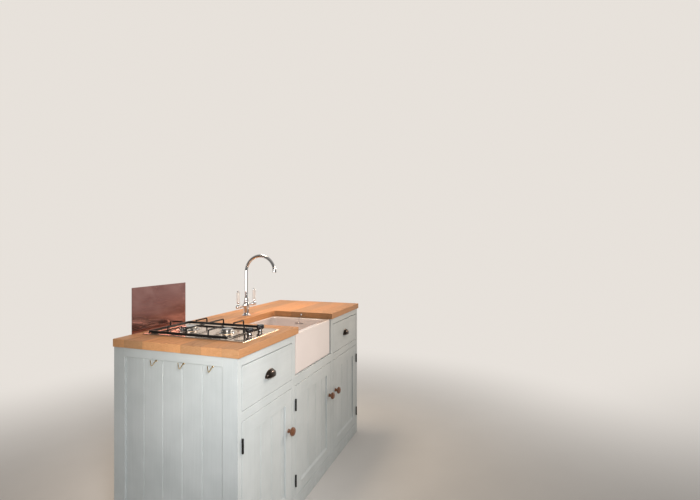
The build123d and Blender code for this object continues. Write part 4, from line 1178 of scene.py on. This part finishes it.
# front rod, let into lugs on the two long bars
for lx in (PX0 + W / 2, PX1 - W / 2):
    pc.board("y", PY0, PY0 + 13.0, lx - W / 2 - 0.6, lx + W / 2 + 0.6, ZB0 - 0.3, ZB1 + 1.2, (1.6,) * 4, end=1.2, seg=4)
pc.tube([(PX0 + 3.0, PY0 + 3.0, 906.4), (HCX, PY0 + 3.0, 906.4), (PX1 - 3.0, PY0 + 3.0, 906.4)], r_rod, 16, ends="flat")
for fx in (PX0 + W / 2 + 1.0, PX1 - W / 2 - 1.0):
    for fy in (PY0 + 8.0, PY1 - W / 2 - 2.0):
        pc.lathe([(0, 0.0), (3.6, 0.0), (4.0, 0.5), (4.0, 3.0), (0, 3.0)], (fx, fy, 904.1), (0, 0, 1), 20)
ZT = 936.6


def finger(p_foot, p_tip, foot=ZL):
    """rises from the frame, bends over and runs in over the flame"""
    fx, fy = p_foot
    tx, ty = p_tip
    d = Vector((tx - fx, ty - fy, 0)).normalized()
    pts = [(fx, fy, foot), (fx + d.x * 1.0, fy + d.y * 1.0, ZT), (tx, ty, ZT)]
    pc.tube([tuple(p) for p in bent(pts, [7.0], 8)], r_fin, 16)


for bx, by in (BF, BR):
    finger((PX0 + r_fin, by), (bx - 26.0 - r_fin, by))
    finger((PX1 - r_fin, by), (bx + 48.0 + r_fin, by))
# cross bar in one bent rod, with a finger each way from it
cy = 352.0
pc.tube([tuple(p) for p in bent([(PX0 + r_fin, cy, ZL), (PX0 + r_fin + 0.8, cy, ZT), (PX1 - r_fin - 0.8, cy, ZT), (PX1 - r_fin, cy, ZL)], [7.0, 7.0], 8)], r_fin, 16)
pc.tube([(HCX, BF[1] + 36 + r_fin, ZT), (HCX, cy, ZT), (HCX, BR[1] - 36 - r_fin, ZT)], r_fin, 16)
finger((HCX, PY0 + r_fin), (HCX, BF[1] - 36 - r_fin), 906.6)
finger((HCX, PY1 - r_fin - 0.6), (HCX, BR[1] + 36 + r_fin))
pc.done("pan_support_rods", "root", ENAMEL, ["pan_support"], sharp=50)

# control knobs: a metal skirt under a wider black head
for name, (kx, ky), body in (("hob_knob_rear", (248.0, 110.0), "hob_knob_rear"), ("hob_knob_front", (336.0, 110.0), "hob_knob_front")):
    pc = Piece()
    z = 904.6
    pc.lathe([(0, 0.0), (12.8, 0.0), (13.2, 0.5), (13.2, 1.6), (12.6, 2.6), (12.2, 5.0), (12.2, 9.0), (12.9, 11.0), (13.6, 12.0), (0, 12.2)], (kx, ky, z), (0, 0, 1), 64)
    skirt_to = len(pc.bm.faces)
    # fluted head
    seg = 120
    rows = []
    for rad, h, fl in ((13.0, 11.8, 0), (16.4, 11.9, 0.1), (17.2, 12.6, 0.3), (17.5, 14.0, 0.7), (17.4, 20.0, 0.8), (17.0, 24.0, 0.7), (16.4, 26.6, 0.5), (15.2, 28.2, 0.2), (13.0, 29.1, 0.0), (9.0, 29.3, 0.0), (0.01, 29.0, 0.0)):
        row = []
        for k in range(seg):
            a = 2 * math.pi * k / seg
            rr = rad + (fl * 0.5 * (math.cos(a * 20) - 1) if rad > 1 else 0)
            row.append((kx + rr * math.cos(a), ky + rr * math.sin(a), z + h))
        rows.append(row)
    made = pc.grid(rows, close=True)
    pc.bm.faces.new(list(reversed(made[0])))
    grip_to = len(pc.bm.faces)
    # pointer line on the top, toward the off mark
    pc.board("y", ky + 4.0, ky + 15.0, kx - 0.9, kx + 0.9, z + 28.2, z + 29.5, (0.1, 0.1, 0.3, 0.3), end=0.2)
    pc.bm.faces.ensure_lookup_table()
    for k, f in enumerate(pc.bm.faces):
        f.material_index = 0 if k < skirt_to else (1 if k < grip_to else 2)
    pc.done(name + "_fluted", body, [SKIRT, BLACK, WHITE], [name], sharp=40)

# ================================================================ splashback
refinish("splashback", SPLASH)
ease("splashback", 0.5)

# ==================================================================== stage
# a pale floor that runs out into a glowing surround: painted light, bright on the far side and dim on the near side
bm = bmesh.new()
radii = [0.0, 0.8, 1.6, 2.4, 3.2, 4.0, 5.0, 6.5, 9.0, 14.0, 25.0, 60.0, 150.0]
rings = []
for r in radii:
    if r == 0:
        rings.append([bm.verts.new((0, 0, 0))])
    else:
        rings.append([bm.verts.new((r * math.cos(2 * math.pi * i / 64), r * math.sin(2 * math.pi * i / 64), 0)) for i in range(64)])
for r0, r1 in zip(rings, rings[1:]):
    for i in range(64):
        j = (i + 1) % 64
        if len(r0) == 1:
            bm.faces.new((r0[0], r1[i], r1[j]))
        else:
            bm.faces.new((r0[i], r1[i], r1[j], r0[j]))
me = bpy.data.meshes.new("floor")
bm.to_mesh(me)
bm.free()
floor = bpy.data.objects.new("floor", me)
bpy.context.scene.collection.objects.link(floor)
floor.location.z = -0.0004

FAR = Vector((0.945, 0.326, 0.0))      # the side of the studio that is washed with light
DIM, LIT = 0.19, 0.80
TINT = (1.0, 0.945, 0.885)


def surround(tree, vector):
    """how bright the studio is in a direction: one side lit, the other dim"""
    def new(kind, **props):
        n = tree.nodes.new(kind)
        for k, v in props.items():
            setattr(n, k, v)
        return n
    unit = new("ShaderNodeVectorMath", operation="NORMALIZE")
    tree.links.new(vector, unit.inputs[0])
    dot = new("ShaderNodeVectorMath", operation="DOT_PRODUCT")
    tree.links.new(unit.outputs[0], dot.inputs[0])
    dot.inputs[1].default_value = FAR
    side = new("ShaderNodeMapRange", interpolation_type="SMOOTHSTEP")
    tree.links.new(dot.outputs["Value"], side.inputs[0])
    for k, v in enumerate((-0.45, 0.55, DIM, LIT)):
        side.inputs[k + 1].default_value = v
    return unit.outputs[0], side.outputs[0]


s = Shader("pale_floor")
here = s.here()
x, y, z = s.split(here)
n = s.noise(here, 3.0, 4, 0.5)
s.set(Base_Color=s.mix(s.span(n, 0.3, 0.7), (0.70, 0.675, 0.645), (0.73, 0.705, 0.675)), Roughness=0.7)
_, level = surround(s.tree, s.join(x, y, 0.0))
# painted light: beyond the object the floor glows, LIT towards FAR and DIM on the other side
glow = s.node("ShaderNodeEmission")
s.feed(glow.inputs["Color"], TINT)
s.feed(glow.inputs["Strength"], level)
both = s.node("ShaderNodeMixShader")
reach = s.vmath("LENGTH", s.join(x, y, 0.0))
s.feed(both.inputs[0], s.span(reach, 0.8, 3.2, 0.0, 1.0, True))
s.tree.links.new(s.bsdf.outputs[0], both.inputs[1])
s.tree.links.new(glow.outputs[0], both.inputs[2])
out = [n for n in s.tree.nodes if n.type == "OUTPUT_MATERIAL"][0]
s.tree.links.new(both.outputs[0], out.inputs[0])
s.mat.cycles.emission_sampling = "NONE"
me.materials.append(s.mat)

world = bpy.data.worlds.new("studio")
bpy.context.scene.world = world
world.use_nodes = True
wt = world.node_tree
wt.nodes.clear()
out = wt.nodes.new("ShaderNodeOutputWorld")
bg = wt.nodes.new("ShaderNodeBackground")
where = wt.nodes.new("ShaderNodeTexCoord")
unit, level = surround(wt, where.outputs["Generated"])
up = wt.nodes.new("ShaderNodeSeparateXYZ")
wt.links.new(unit, up.inputs[0])
high = wt.nodes.new("ShaderNodeMapRange")
high.interpolation_type = "SMOOTHSTEP"
wt.links.new(up.outputs[2], high.inputs[0])
for k, v in enumerate((0.50, 0.90, 0.0, 1.0)):
    high.inputs[k + 1].default_value = v
blend = wt.nodes.new("ShaderNodeMix")
blend.data_type = "FLOAT"
wt.links.new(high.outputs[0], blend.inputs[0])
wt.links.new(level, blend.inputs[2])
blend.inputs[3].default_value = 0.42
bg.inputs["Color"].default_value = (*TINT, 1)
wt.links.new(blend.outputs[0], bg.inputs["Strength"])
wt.links.new(bg.outputs[0], out.inputs[0])


def area(name, where, target, size, power, colour=(1, 1, 1), spread=180):
    light = bpy.data.lights.new(name, "AREA")
    light.shape = "RECTANGLE"
    light.size, light.size_y = size
    light.energy = power
    light.color = colour
    light.spread = math.radians(spread)
    ob = bpy.data.objects.new(name, light)
    bpy.context.scene.collection.objects.link(ob)
    ob.location = where
    ob.rotation_euler = (Vector(target) - Vector(where)).to_track_quat("-Z", "Y").to_euler()
    return ob


area("key", (1.25, -1.45, 1.78), (-0.92, -0.29, 0.55), (0.35, 0.35), 1.55, (1.0, 0.90, 0.82), 42)
area("side", (-2.1, -1.55, 1.68), (-0.74, -0.33, 0.67), (0.4, 0.4), 2.38, (0.98, 0.98, 1.0), 40)
area("warm", (1.9, -1.5, 1.7), (0.30, -0.33, 0.90), (0.5, 0.5), 0.93, (1.0, 0.78, 0.60), 34)
area("top", (0.40, 0.30, 2.4), (0.36, 0.10, 0.85), (0.8, 0.5), 3.8, (1.0, 0.80, 0.60), 70)
area("fill", (-2.7, -0.9, 1.05), (-0.73, -0.12, 1.04), (0.4, 0.6), 0.86, (1.0, 0.94, 0.87), 28)

camera = bpy.data.cameras.new("camera")
camera.sensor_width = 36.0
camera.lens = 418.49 / 700 * 36.0
camera.clip_start, camera.clip_end = 0.02, 300
cam = bpy.data.objects.new("camera", camera)
bpy.context.scene.collection.objects.link(cam)
cam.location = (-2.0716, -1.2059, 1.2765)
cam.rotation_euler = (math.radians(90), 0, math.radians(-70.98))
bpy.context.scene.camera = cam

view = bpy.context.scene.view_settings
view.view_transform = "Standard"
view.look = "None"
view.exposure = 0.0
view.gamma = 1.0

bpy.context.view_layer.update()
